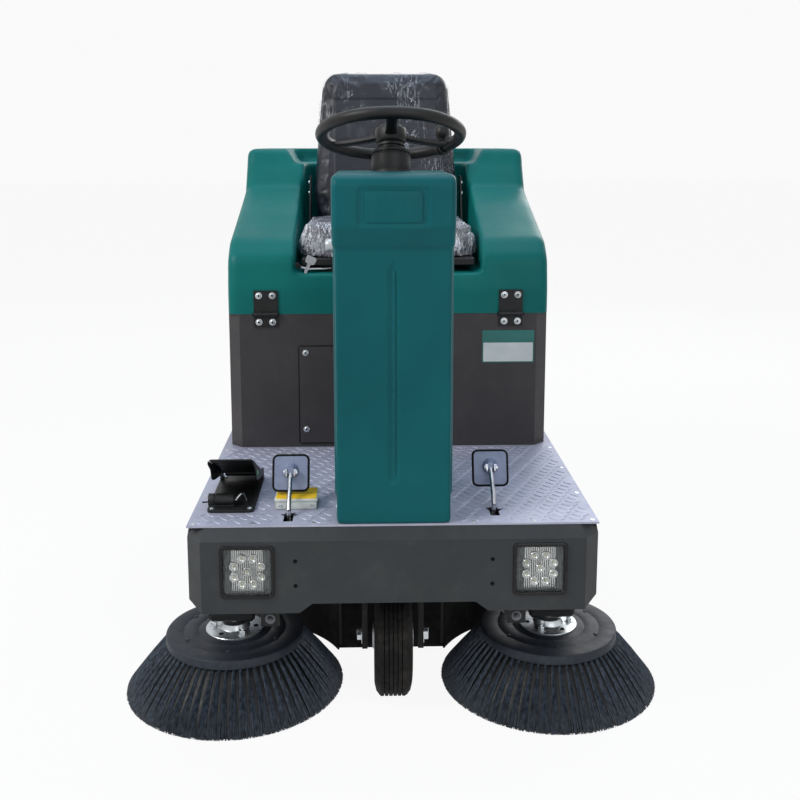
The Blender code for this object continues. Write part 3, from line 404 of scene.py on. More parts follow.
class Finish:
    """A Principled material whose colour, roughness and bump come from procedural nodes."""

    def __init__(self, name, roughness=0.5, metallic=0.0, **sockets):
        self.made = bpy.data.materials.new(name)
        self.made.use_nodes = True
        self.tree = self.made.node_tree
        self.shader = self.tree.nodes["Principled BSDF"]
        self.give(self.shader, Roughness=roughness, Metallic=metallic, **sockets)
        self.place = self.node("ShaderNodeTexCoord").outputs["Object"]
        self.height = None

    def node(self, kind, **settings):
        made = self.tree.nodes.new(kind)
        for key, value in settings.items():
            setattr(made, key, value)
        return made

    def give(self, node, **values):
        for socket, value in values.items():
            node.inputs[socket.replace("_", " ")].default_value = value

    def link(self, out, into):
        self.tree.links.new(out, into)

    def stretched(self, scale):
        """The surface's coordinates, scaled a different amount along each axis."""
        mapping = self.node("ShaderNodeMapping")
        mapping.inputs["Scale"].default_value = scale
        self.link(self.place, mapping.inputs["Vector"])
        return mapping.outputs["Vector"]

    def noise(self, scale, detail=3.0, rough=0.55, stretch=None, distortion=0.0):
        made = self.node("ShaderNodeTexNoise")
        self.give(made, Scale=scale, Detail=detail, Roughness=rough, Distortion=distortion)
        self.link(self.stretched(stretch) if stretch else self.place, made.inputs["Vector"])
        return made.outputs["Fac"]

    def cells(self, scale, feature="DISTANCE_TO_EDGE", stretch=None):
        made = self.node("ShaderNodeTexVoronoi", feature=feature)
        made.inputs["Scale"].default_value = scale
        self.link(self.stretched(stretch) if stretch else self.place, made.inputs["Vector"])
        return made.outputs["Distance"]

    def ramp(self, value, low, high, out_low=0.0, out_high=1.0):
        made = self.node("ShaderNodeMapRange")
        made.clamp = True
        for socket, number in zip(
            ("From Min", "From Max", "To Min", "To Max"), (low, high, out_low, out_high)
        ):
            made.inputs[socket].default_value = number
        self.link(value, made.inputs["Value"])
        return made.outputs["Result"]

    def maths(self, operation, a, b):
        made = self.node("ShaderNodeMath", operation=operation)
        for socket, value in zip(made.inputs, (a, b)):
            if isinstance(value, (int, float)):
                socket.default_value = value
            else:
                self.link(value, socket)
        return made.outputs[0]

    def mix(self, value, first, second):
        """Two colours, or a colour and a socket, mixed by a value."""
        made = self.node("ShaderNodeMix", data_type="RGBA")
        self.link(value, made.inputs["Factor"])
        for socket, colour in ((made.inputs[6], first), (made.inputs[7], second)):
            if isinstance(colour, tuple):
                socket.default_value = (*colour, 1.0)
            else:
                self.link(colour, socket)
        return made.outputs[2]

    def axis(self, name):
        made = self.node("ShaderNodeSeparateXYZ")
        self.link(self.place, made.inputs["Vector"])
        return made.outputs[name]

    def colour(self, socket):
        self.link(socket, self.shader.inputs["Base Color"])

    def roughness(self, value, low, high):
        self.link(self.ramp(value, 0.25, 0.75, low, high), self.shader.inputs["Roughness"])

    def bump(self, value, depth, strength=1.0):
        made = self.node("ShaderNodeBump")
        self.give(made, Distance=depth, Strength=strength)
        self.link(value, made.inputs["Height"])
        if self.height is not None:
            self.link(self.height, made.inputs["Normal"])
        self.height = made.outputs["Normal"]
        self.link(self.height, self.shader.inputs["Normal"])

    def edges(self, low=0.52, high=0.6):
        """How far a point lies on a worn outside edge."""
        made = self.node("ShaderNodeNewGeometry")
        return self.ramp(made.outputs["Pointiness"], low, high)


def linear(r, g, b):
    """A colour written as 0 to 255, as the shader takes it."""
    return tuple(
        (v / 255 / 12.92) if v / 255 <= 0.04045 else ((v / 255 + 0.055) / 1.055) ** 2.4 for v in (r, g, b)
    )


def linear_all(*colours):
    return [linear(*colour) for colour in colours]


def moulded(name, deep, pale, scuff):
    """Rotomoulded polyethylene: mottled, softly dimpled and lightly rubbed along its edges."""
    deep, pale, scuff = linear_all(deep, pale, scuff)
    f = Finish(name, 0.4, Specular_IOR_Level=0.14)
    broad = f.ramp(f.noise(3.2, 4.0, 0.6), 0.32, 0.68)
    base = f.mix(broad, deep, pale)
    specks = f.ramp(f.noise(900.0, 2.0, 0.6), 0.66, 0.8, 0.0, 0.22)
    base = f.mix(specks, base, scuff)
    rubbed = f.maths("MULTIPLY", f.edges(0.515, 0.56), f.ramp(f.noise(60.0, 5.0, 0.7), 0.45, 0.7, 0.0, 0.28))
    base = f.mix(rubbed, base, scuff)
    scratches = f.ramp(f.noise(26.0, 6.0, 0.7, stretch=(1.0, 1.0, 9.0), distortion=1.2), 0.7, 0.76, 0.0, 0.16)
    base = f.mix(scratches, base, scuff)
    f.colour(base)
    f.roughness(f.noise(9.0, 5.0, 0.65), 0.33, 0.52)
    f.bump(f.noise(420.0, 2.0, 0.5), 0.00035, 0.35)
    f.bump(f.noise(22.0, 2.0, 0.5), 0.0016, 0.3)
    return f.made


def powder(name, base, pale, roughness=(0.42, 0.58), metallic=0.0, dust=0.05):
    """Powder coat on steel: a fine orange peel, bright specks in its grain and a little dust."""
    base, pale = linear_all(base, pale)
    f = Finish(name, 0.5, metallic, Specular_IOR_Level=0.28)
    colour = f.mix(f.ramp(f.noise(6.0, 5.0, 0.6), 0.3, 0.7), base, pale)
    grain = f.ramp(f.noise(1400.0, 1.0, 0.5), 0.55, 0.75, 0.0, 0.3)
    colour = f.mix(grain, colour, tuple(min(c * 1.9 + 0.004, 1.0) for c in pale))
    dusty = f.ramp(f.noise(14.0, 8.0, 0.72), 0.52, 0.78, 0.0, dust)
    colour = f.mix(dusty, colour, linear(150, 146, 138))
    f.colour(colour)
    f.roughness(f.noise(35.0, 5.0, 0.6), *roughness)
    f.bump(f.noise(650.0, 2.0, 0.5), 0.0003, 0.45)
    return f.made


def metal(name, base, dark, roughness=(0.18, 0.38), stretch=(1.0, 1.0, 30.0), scale=60.0, amount=1.0):
    """Bare or plated metal with a drawn grain, finger marks and tarnish."""
    base, dark = linear_all(base, dark)
    f = Finish(name, 0.3, amount)
    stains = f.ramp(f.noise(18.0, 6.0, 0.7), 0.45, 0.75)
    f.colour(f.mix(stains, base, dark))
    f.roughness(f.noise(scale, 4.0, 0.6, stretch=stretch), *roughness)
    f.bump(f.noise(scale * 6, 2.0, 0.5, stretch=stretch), 0.0002, 0.25)
    return f.made


def plastic(name, base, pale, roughness=(0.38, 0.55), grain=500.0):
    """Injection-moulded plastic with a spark-eroded texture, and a painted highlight that lightens its
    outside edges.
    """
    base, pale = linear_all(base, pale)
    f = Finish(name, 0.45, Specular_IOR_Level=0.3)
    colour = f.mix(f.ramp(f.noise(12.0, 5.0, 0.6), 0.35, 0.7), base, pale)
    # painted highlight: outside edges, found by pointiness and broken up by noise, are lightened to stand in
    # for a sheen
    painted_sheen = f.maths("MULTIPLY", f.edges(0.52, 0.58), f.ramp(f.noise(80.0, 4.0, 0.6), 0.4, 0.7, 0.0, 0.5))
    f.colour(f.mix(painted_sheen, colour, tuple(c * 2.4 + 0.008 for c in pale)))
    f.roughness(f.noise(40.0, 5.0, 0.6), *roughness)
    f.bump(f.cells(grain, "F1"), 0.0003, 0.35)
    return f.made


def rubber(name, base, pale, dust=0.5):
    """Rubber with a chalky bloom and dust caught in its grain."""
    base, pale = linear_all(base, pale)
    f = Finish(name, 0.85, Specular_IOR_Level=0.18)
    colour = f.mix(f.ramp(f.noise(24.0, 7.0, 0.7), 0.35, 0.7), base, pale)
    dusty = f.ramp(f.noise(9.0, 9.0, 0.75), 0.5, 0.8, 0.0, dust)
    f.colour(f.mix(dusty, colour, linear(120, 114, 104)))
    f.roughness(f.noise(50.0, 5.0, 0.6), 0.68, 0.95)
    f.bump(f.noise(700.0, 3.0, 0.6), 0.0004, 0.5)
    return f.made


def tread_plate(name):
    """Rolled aluminium: bright, faintly hazed, scratched by boots in every direction."""
    f = Finish(name, 0.5, 0.35, Specular_IOR_Level=0.35)
    haze = f.ramp(f.noise(5.0, 6.0, 0.65), 0.3, 0.7)
    base = f.mix(haze, linear(187, 189, 206), linear(164, 166, 184))
    one = f.ramp(f.noise(70.0, 5.0, 0.7, stretch=(1.0, 14.0, 1.0), distortion=0.6), 0.6, 0.7, 0.0, 0.5)
    two = f.ramp(f.noise(70.0, 5.0, 0.7, stretch=(12.0, 1.0, 1.0), distortion=0.8), 0.6, 0.7, 0.0, 0.5)
    base = f.mix(one, base, linear(214, 214, 224))
    base = f.mix(two, base, linear(138, 137, 150))
    grime = f.ramp(f.noise(30.0, 8.0, 0.75), 0.62, 0.85, 0.0, 0.5)
    f.colour(f.mix(grime, base, linear(118, 112, 108)))
    f.roughness(f.noise(46.0, 6.0, 0.7), 0.44, 0.62)
    f.bump(f.noise(300.0, 3.0, 0.6), 0.0003, 0.3)
    return f.made


def nylon(name, deep, pale, tip):
    """Crimped nylon filament: blue-black, paler where it is worn, dusty at the tips."""
    deep, pale, tip = linear_all(deep, pale, tip)
    f = Finish(name, 0.5, Specular_IOR_Level=0.3)
    strands = f.ramp(f.noise(160.0, 3.0, 0.6, stretch=(1.0, 1.0, 0.12)), 0.35, 0.65)
    base = f.mix(strands, deep, pale)
    worn = f.ramp(f.axis("Z"), 0.045, 0.0, 0.0, 0.45)
    f.colour(f.mix(f.maths("MULTIPLY", worn, f.noise(60.0, 4.0, 0.6)), base, tip))
    f.roughness(f.noise(90.0, 3.0, 0.6), 0.38, 0.62)
    return f.made


def vinyl(name, deep, pale):
    """Expanded vinyl with a pebbled leather grain and a dull sheen on its crown."""
    deep, pale = linear_all(deep, pale)
    f = Finish(name, 0.45, Specular_IOR_Level=0.35, Coat_Weight=0.1, Coat_Roughness=0.2)
    f.colour(f.mix(f.ramp(f.noise(7.0, 5.0, 0.6), 0.3, 0.7), deep, pale))
    f.roughness(f.noise(30.0, 5.0, 0.6), 0.34, 0.52)
    f.bump(f.cells(420.0), 0.0006, 0.4)
    f.bump(f.noise(60.0, 3.0, 0.6), 0.0008, 0.3)
    return f.made


def clear_film(name, haze, width, low, high, tint):
    """Thin clear packing film: nearly invisible where it lies flat, with painted white highlights along its
    creases.
    """
    tint = linear(*tint)
    f = Finish(name, 0.09, IOR=1.45, Specular_IOR_Level=0.9)
    long_folds = f.noise(15.0, 4.0, 0.62, stretch=(1.9, 1.0, 0.55), distortion=1.6)
    ridge = f.maths("ABSOLUTE", f.maths("SUBTRACT", long_folds, 0.5), 0.0)
    crease = f.ramp(ridge, width, 0.0, 0.0, 1.0)
    fine = f.noise(52.0, 5.0, 0.66, stretch=(1.4, 1.0, 0.7), distortion=2.2)
    fine_ridge = f.ramp(f.maths("ABSOLUTE", f.maths("SUBTRACT", fine, 0.5), 0.0), width * 0.7, 0.0, 0.0, 0.5)
    patch = f.ramp(f.noise(6.5, 3.0, 0.5), low, high)
    # painted highlight: the crease lines are coloured near white and made less clear, standing in for glints
    # on the creased film
    lines = f.maths("MULTIPLY", f.maths("MAXIMUM", crease, fine_ridge), patch)
    f.colour(f.mix(lines, tint, linear(232, 235, 242)))
    alpha = f.maths("ADD", f.maths("MULTIPLY", lines, 0.72), haze)
    f.link(alpha, f.shader.inputs["Alpha"])
    f.bump(long_folds, 0.006, 0.55)
    f.bump(fine, 0.002, 0.5)
    return f.made


def glass(name, tint, alpha, roughness=0.05):
    """Moulded polycarbonate, clear with a faint haze."""
    tint = linear(*tint)
    f = Finish(name, roughness, Specular_IOR_Level=0.6)
    f.colour(f.mix(f.noise(90.0, 4.0, 0.6), tint, tuple(min(c * 1.3, 1.0) for c in tint)))
    f.link(f.ramp(f.noise(40.0, 5.0, 0.6), 0.2, 0.8, alpha * 0.8, alpha * 1.2), f.shader.inputs["Alpha"])
    return f.made


def painted(name, base, pale, roughness=(0.3, 0.45)):
    """A printed or lacquered surface with faint blotches and fine scratches."""
    base, pale = linear_all(base, pale)
    f = Finish(name, 0.4)
    colour = f.mix(f.ramp(f.noise(20.0, 5.0, 0.6), 0.3, 0.7), base, pale)
    scratch = f.ramp(f.noise(120.0, 4.0, 0.7, stretch=(1.0, 1.0, 8.0)), 0.68, 0.76, 0.0, 0.3)
    f.colour(f.mix(scratch, colour, tuple(min(c * 1.5 + 0.03, 1.0) for c in pale)))
    f.roughness(f.noise(60.0, 4.0, 0.6), *roughness)
    f.bump(f.noise(800.0, 2.0, 0.5), 0.0001, 0.3)
    return f.made


TEAL = moulded("teal_moulding", (5, 97, 94), (9, 110, 106), (70, 150, 144))
COLUMN = moulded("teal_column_moulding", (6, 82, 88), (9, 94, 99), (66, 132, 138))
GRAPHITE = powder("graphite_powder_coat", (44, 47, 49), (54, 57, 59))
GREY = powder("grey_powder_coat", (54, 52, 54), (64, 61, 63))
BLACK_METAL = powder("black_powder_coat", (14, 15, 16), (23, 24, 25), (0.4, 0.56))
# painted shade: a darker copy of the black powder coat, for parts that sit under and inside the machine
UNDERSIDE_SHADE = powder("underside_black_painted_shade", (9, 9, 10), (17, 17, 18), (0.5, 0.7), dust=0.1)
PLATE = tread_plate("rolled_tread_plate")
STEEL = metal("drawn_steel", (190, 192, 198), (140, 140, 146))
ZINC = metal("zinc_plate", (198, 204, 208), (150, 156, 158), (0.22, 0.42), (1, 1, 1), 40.0, 0.9)
CAST = metal("cast_aluminium", (168, 170, 174), (128, 130, 134), (0.4, 0.6), (1, 1, 1), 120.0, 0.8)
DARK_STEEL = metal("dark_steel", (104, 106, 110), (66, 68, 72), (0.35, 0.55), (1, 1, 1), 80.0, 0.7)
PAD_STEEL = metal("pedal_plate", (128, 138, 164), (104, 113, 138), (0.45, 0.62), (1, 1, 1), 50.0, 0.25)
CHROME = metal("vacuum_chrome", (214, 216, 214), (160, 162, 158), (0.1, 0.22), (1, 1, 1), 200.0, 0.95)
BLACK = plastic("black_moulding", (14, 15, 16), (24, 25, 27))
GRIP = plastic("black_grip", (11, 11, 12), (21, 21, 23), (0.36, 0.52), 900.0)
BEZEL = plastic("lamp_bezel", (3, 3, 5), (8, 8, 11), (0.22, 0.34))
LAMP_BACK = plastic("lamp_back_plate", (58, 60, 58), (88, 90, 86), (0.25, 0.4))
DISC = plastic("brush_back_plastic", (26, 31, 39), (38, 44, 52), (0.42, 0.6), 260.0)
SOCKET = rubber("black_rubber", (11, 11, 12), (21, 21, 22), 0.06)
RUBBER = rubber("skirt_rubber", (12, 12, 13), (21, 21, 22), 0.1)
TYRE = rubber("tyre_rubber", (15, 15, 16), (27, 27, 27), 0.3)
NYLON = nylon("bristle_nylon", (30, 37, 46), (74, 84, 98), (104, 104, 102))
# painted shade: a far darker copy of the bristle nylon for the solid mass inside the tufts, standing in for
# the shade between strands
BRISTLE_SHADE = nylon("bristle_mass_painted_shade", (4, 6, 9), (10, 13, 18), (20, 22, 24))
BROOM_NYLON = nylon("broom_nylon", (26, 30, 36), (58, 62, 68), (110, 106, 98))
VINYL = vinyl("navy_vinyl", (10, 14, 23), (18, 24, 37))
FILM = clear_film("clear_film", 0.03, 0.014, 0.43, 0.62, (60, 74, 100))
BUNCHED_FILM = clear_film("bunched_film", 0.32, 0.036, 0.24, 0.42, (186, 186, 198))
LENS = glass("lamp_lens", (150, 156, 158), 0.06)
PHOSPHOR = painted("emitter_yellow", (192, 190, 150), (214, 212, 176), (0.4, 0.6))
YELLOW = painted("yellow_plate", (236, 188, 26), (246, 204, 44))
LABEL_DARK = painted("plate_teal", (14, 96, 92), (20, 110, 104))
LABEL_PALE = painted("plate_silver", (196, 204, 204), (214, 220, 220))
PALE_BOX = painted("pale_enamel", (206, 212, 206), (222, 226, 220))
GREEN = painted("green_dot", (60, 190, 90), (90, 214, 120))
RED = painted("red_cap", (160, 26, 22), (190, 40, 32))
SCREEN = painted("display_glass", (20, 30, 34), (34, 46, 50), (0.08, 0.16))

FINISH_OF_SLOT = {
    "teal": TEAL, "graphite": GRAPHITE, "body_grey": GREY, "checker_aluminium": PLATE, "steel": STEEL,
    "black_plastic": BLACK, "black_metal": BLACK_METAL, "rubber": RUBBER, "tyre": TYRE, "bristle": NYLON,
    "vinyl": VINYL, "lamp": BLACK,
}


# Moulded covers ----------------------------------------------------------------------------------

COVER_LOW, COVER_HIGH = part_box("upper_cover")
COLUMN_LOW, COLUMN_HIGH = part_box("column_cover")
MOULD_WALL = 0.005
COVER_VOXEL, COVER_SMOOTHING = 0.0062, 7
COLUMN_VOXEL, COLUMN_SMOOTHING = 0.0028, 3
BAY_HALF, BAY_FLOOR = 0.236, 0.889


def skin_from(bm, bottom):
    """The outside of a hollow moulding: a solid worn round, opened at the bottom and given a wall."""
    out = voxel(bm, COVER_VOXEL, COVER_SMOOTHING)
    geometry = out.verts[:] + out.edges[:] + out.faces[:]
    bmesh.ops.bisect_plane(
        out, geom=geometry, dist=0.00001, plane_co=(0, 0, bottom), plane_no=(0, 0, -1), clear_outer=True
    )
    out.normal_update()
    inner = {v: out.verts.new(v.co - v.normal * MOULD_WALL) for v in out.verts[:]}
    shell = out.faces[:]
    border = [e for e in out.edges if e.is_boundary]
    for v, w in inner.items():
        w.co.z = max(w.co.z, bottom)
        if v.co.z < bottom + 0.0001:
            w.co.z = bottom
    for face in shell:
        out.faces.new([inner[v] for v in reversed(face.verts)])
    for edge in border:
        a, b = edge.verts
        out.faces.new((a, b, inner[b], inner[a]))
    bmesh.ops.recalc_face_normals(out, faces=out.faces)
    return out


def upper_cover():
    """The tilting seat cover: two shoulders either side of the seat bay, and a notch behind it."""
    top = COVER_HIGH.z
    low = COVER_LOW.z
    half = COVER_HIGH.x
    drop = 0.05
    profile = [
        (at(0.57), low - drop), (COVER_HIGH.y, low - drop), (COVER_HIGH.y, top), (at(1.07), top),
        (at(1.047), 1.157), (at(1.0), 1.09), (at(0.95), 1.072), (at(0.766), 1.0145), (at(0.63), 0.973),
        (at(0.584), 0.93), (at(0.57), 0.85),
    ]
    corner = [0, 0, 0.02, 0.024, 0.02, 0.03, 0.04, 0, 0.06, 0.05, 0.05]
    body = bmesh.new()
    add_prism(body, rounded_outline(profile, corner), -half, half, "X", bevel=0.034, segments=2)
    bay = bmesh.new()
    plan = oblong(-BAY_HALF, BAY_HALF, at(0.4), at(1.1), [0, 0, 0.05, 0.05])
    add_prism(bay, plan, BAY_FLOOR, 1.5, "Z")
    slopes = []
    for _, side in SIDES:
        ramp = bmesh.new()
        outline = [(0.2, 1.5), (0.2, 0.95), (BAY_HALF, 0.95), (0.247, 1.12), (0.25, 1.5)]
        add_prism(ramp, [(side * x, z) for x, z in outline[::side]], at(0.4), at(1.02), "Y")
        slopes.append(ramp)
    notch = bmesh.new()
    add_prism(
        notch, [(-0.262, 1.157), (0.262, 1.157), (0.292, 1.202), (0.3, 1.4), (-0.3, 1.4), (-0.292, 1.202)],
        at(1.02), at(1.3), "Y",
    )
    cut = boolean(body, [bay, *slopes, notch])
    skin = skin_from(cut, low)
    for v in skin.verts:
        v.co.x = max(-half, min(half, v.co.x))
    piece("cover_moulding", skin, TEAL, "cover", ["upper_cover"], smooth=70)


def cover_trim():
    """The rolled flange round the cover's bottom edge."""
    bm = bmesh.new()
    low = COVER_LOW.z
    x = COVER_HIGH.x - 0.004
    front, rear = at(0.5745), COVER_HIGH.y - 0.004
    points = [Vector((px, py, low + 0.009)) for px, py in oblong(-x, x, front, rear, 0.03)]
    section = [(0.0024, -0.0088), (0.0034, -0.007), (0.0034, 0.001)]
    section += [(0.002, 0.004), (-0.001, 0.0046), (-0.001, -0.0088)]
    rings = []
    count = len(points)
    for i, point in enumerate(points):
        along = (points[(i + 1) % count] - points[i - 1]).normalized()
        out = Vector((along.y, -along.x, 0))
        rings.append([bm.verts.new(point + out * u + Vector((0, 0, v))) for u, v in section])
    loft(bm, rings, closed=True)
    bmesh.ops.recalc_face_normals(bm, faces=bm.faces)
    piece("cover_bottom_roll", bm, TEAL, "cover", smooth=50)


def column_cover():
    """The steering column's moulding: an overhanging head with a recessed panel, a rib down the front."""
    half = COLUMN_HIGH.x
    low, top = COLUMN_LOW.z, COLUMN_HIGH.z
    body_half = half - 0.0055
    front, rear = at(0.024), at(0.315)
    head = bmesh.new()
    profile = [(at(0.002), 1.052), (at(0.022), 1.006), (rear, 1.006), (rear, top), (at(0.002), top)]
    add_prism(
        head, rounded_outline(profile, [0.016, 0.012, 0, 0.024, 0.026]), -half, half, "X", bevel=0.018,
        segments=5
    )
    tub = bmesh.new()
    add_prism(
        tub, oblong(
            front, rear, low - 0.0001, 1.06, [0.006, 0, 0, 0]
        ), -body_half, body_half, "X", bevel=0.016, segments=4,
    )
    foot = bmesh.new()
    add_prism(
        foot, [(front - 0.0004, low), (rear, low), (rear, low + 0.034), (front - 0.0004, low + 0.034)],
        -body_half - 0.0012, body_half + 0.0012, "X", bevel=0.015, segments=3,
    )
    strip = []
    for _, side in SIDES:
        edge = bmesh.new()
        a, b = side * (body_half - 0.006), side * (half - 0.0012)
        add_box(edge, (min(a, b), max(a, b)), (front + 0.016, rear - 0.012), (low + 0.055, 1.05), bevel=0.005)
        strip.append(edge)
    joined = boolean(head, [tub, foot, *strip], "UNION")
    recess = bmesh.new()
    add_prism(recess, oblong(-0.072, 0.072, 1.052, 1.13, 0.01), at(-0.02), at(0.002) + 0.0028, "Y")
    groove = bmesh.new()
    arc = [math.pi + math.pi * k / 12 for k in range(13)]
    slot = [(0.011 * math.cos(a), 0.536 + 0.011 * math.sin(a)) for a in arc]
    slot += [(0.011, 0.965), (0.0, 0.984), (-0.011, 0.965)]
    add_prism(groove, slot, at(-0.02), front + 0.0024, "Y")
    cut = boolean(joined, [recess, groove])
    out = voxel(cut, COLUMN_VOXEL, COLUMN_SMOOTHING)
    for v in out.verts:
        v.co.x = max(-half, min(half, v.co.x))
        v.co.z = max(low, v.co.z)
    piece("column_moulding", out, COLUMN, "chassis", ["column_cover"], smooth=70)


def column_details():
    """The raised panel in the head's recess, the rib's crease and the four feet screws."""
    front = at(0.024)
    head_front = at(0.002)
    bm = bmesh.new()
    panel = oblong(-0.0565, 0.0565, 1.0605, 1.1215, 0.007)
    add_prism(bm, panel, head_front + 0.0004, head_front + 0.0045, "Y", bevel=0.0016, segments=3)
    ridge = [(-0.003, 0.545), (0.003, 0.545), (0.003, 0.955), (0.0, 0.972), (-0.003, 0.955)]
    add_prism(bm, rounded_outline(ridge, 0.002, 3), front + 0.0004, front + 0.004, "Y", bevel=0.0008)
    piece("column_relief", bm, COLUMN, "chassis", smooth=50)
    screws = bmesh.new()
    for side, depth in product((-1, 1), (0.075, 0.265)):
        point = (side * (COLUMN_HIGH.x - 0.0042), at(depth), COLUMN_LOW.z + 0.018)
        add_dome_bolt(screws, point, (side, 0, 0), 0.0052, 0.0032)
    piece("column_screws", screws, [ZINC, BLACK], "chassis")


upper_cover()
cover_trim()
column_cover()
column_details()


# Deck and front sheet metal ----------------------------------------------------------------------

BAR_LENGTH, BAR_WIDTH, BAR_HEIGHT, BAR_PITCH = 0.0235, 0.0052, 0.0013, 0.0205
PEDALS = (
    ("brake", "brake", "brake_pedal", (-0.2195, 0.073)),
    ("flap_lift", "flap_lever", "flap_pedal", (0.2147, 0.095)),
)
RELAY_X, RELAY_DEPTH, RELAY_HEIGHT = (-0.251, -0.163), (0.112, 0.182), 0.024


def add_bar(bm, x, y, heading):
    """One raised bar of a tread plate, lens shaped, standing on the deck."""
    c, s = math.cos(heading), math.sin(heading)

    def spot(u, v, z):
        return bm.verts.new((x + c * u - s * v, y + s * u + c * v, DECK + z))

    length, width = BAR_LENGTH / 2, BAR_WIDTH / 2
    foot = [(-length, 0), (-length * 0.6, -width * 0.8), (0, -width), (length * 0.6, -width * 0.8)]
    foot += [(length, 0), (length * 0.6, width * 0.8), (0, width), (-length * 0.6, width * 0.8)]
    base = [spot(u, v, 0.00002) for u, v in foot]
    mid = [spot(u * 0.9, v * 0.72, BAR_HEIGHT * 0.72) for u, v in foot]
    top = [spot(u * 0.72, v * 0.34, BAR_HEIGHT) for u, v in foot]
    loft(bm, [base, mid, top])
    bm.faces.new(top)
    bm.faces.new(base[::-1])


def deck_bars():
    """Herringbone bars over the open deck, clear of the column, the pedals and the bodywork."""
    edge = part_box("deck_plate")[1].x - 0.02
    column = COLUMN_HIGH.x + 0.014
    taken = [((-column, column), (0.0, 0.33))]
    for _, _, _, (x, depth) in PEDALS:
        taken.append(((x - 0.026, x + 0.026), (depth - 0.046, depth + 0.036)))
    base_low, base_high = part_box("accelerator_base")
    fittings = [((base_low.x, base_high.x), (base_low.y - FACE, base_high.y - FACE)), (RELAY_X, RELAY_DEPTH)]
    taken += [tuple((a - 0.012, b + 0.012) for a, b in spans) for spans in fittings]
    bm = bmesh.new()
    first, last = 0.04, 0.556
    rows = int((last - first) / BAR_PITCH)
    columns = int(2 * edge / BAR_PITCH)
    for row in range(rows + 1):
        depth = first + row * BAR_PITCH
        for column_at in range(columns + 1):
            x = -edge + column_at * BAR_PITCH + (BAR_PITCH / 2 if row % 2 else 0)
            if x > edge or any(a < x < b and c < depth < d for (a, b), (c, d) in taken):
                continue
            add_bar(bm, x, at(depth), math.radians(45 if (column_at + row // 2) % 2 else -45))
    piece("deck_tread_bars", bm, PLATE, "chassis", smooth=40)


def deck_fittings():
    """Countersunk screws round the deck, and the pale relay box with its blank yellow plate."""
    bm = bmesh.new()
    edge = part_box("deck_plate")[1].x - 0.012
    spots = [(side * edge, d) for side in (-1, 1) for d in (0.034, 0.2, 0.38, 0.545, 0.8, 1.05, 1.3)]
    spots += [(side * x, 0.034) for side in (-1, 1) for x in (0.165, 0.29)]
    for x, depth in spots:
        add_lathe(
            bm, [
                (0, 0.00005), (0.0052, 0.00005), (0.005, 0.0007), (0.0032, 0.001), (0.0012, 0.0006),
                (0, 0.0006)
            ],
            shift(x, at(depth), DECK), 20,
        )
    piece("deck_screws", bm, ZINC, "chassis")

    box = bmesh.new()
    (x0, x1), (d0, d1) = RELAY_X, RELAY_DEPTH
    top = DECK + RELAY_HEIGHT
    add_box(box, (x0, x1), (at(d0), at(d1)), (DECK + 0.0003, top - 0.006), bevel=0.003)
    add_box(box, (x0 - 0.002, x1 + 0.002), (at(d0 - 0.002), at(d1 + 0.002)), (top - 0.0062, top), bevel=0.002)
    for x in (x0 + 0.01, x1 - 0.01):
        add_dome_bolt(box, (x, at(d0 - 0.0001), DECK + 0.0095), (0, -1, 0), 0.0028, 0.002, mat=1, socket=2)
    piece("relay_box", box, [PALE_BOX, ZINC, BLACK], "chassis")
    card = bmesh.new()
    outline = oblong(x0 + 0.001, x1 - 0.001, at(d0), at(d1), 0.004, 4)
    add_prism(card, outline, top - 0.0002, top + 0.0012, "Z", bevel=0.0004)
    piece("blank_yellow_plate", card, YELLOW, "chassis")


def bumper_details():
    """The bumper's weld beads and the rubber plugs in its face."""
    bm = bmesh.new()
    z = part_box("front_bumper")[1].z - 0.004
    for _, side in SIDES:
        add_weld(bm, (side * 0.408, at(0.0335), z), (side * 0.408, at(0.11), z), 0.0016)
    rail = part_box("frame_rail_left")[1].x
    for _, side in SIDES:
        add_weld(bm, (side * (rail - 0.004), at(0.13), 0.38), (side * (rail - 0.004), at(0.3), 0.38), 0.0028)
    piece("bumper_welds", bm, GRAPHITE, "chassis")

    studs = bmesh.new()
    plug = [(0, -0.004), (0.0029, -0.004), (0.0029, 0.0002), (0.0044, 0.0004)]
    plug += [(0.0044, -0.0006), (0.0036, -0.0016), (0, -0.0016)]
    for (_, side), z in product(SIDES, (0.318, 0.371)):
        add_lathe(studs, plug, facing((side * 0.202, at(-0.0003), z), (0, -1, 0)), 20)
    piece("bumper_plugs", studs, SOCKET, "chassis")


CUP_RING = 0.03


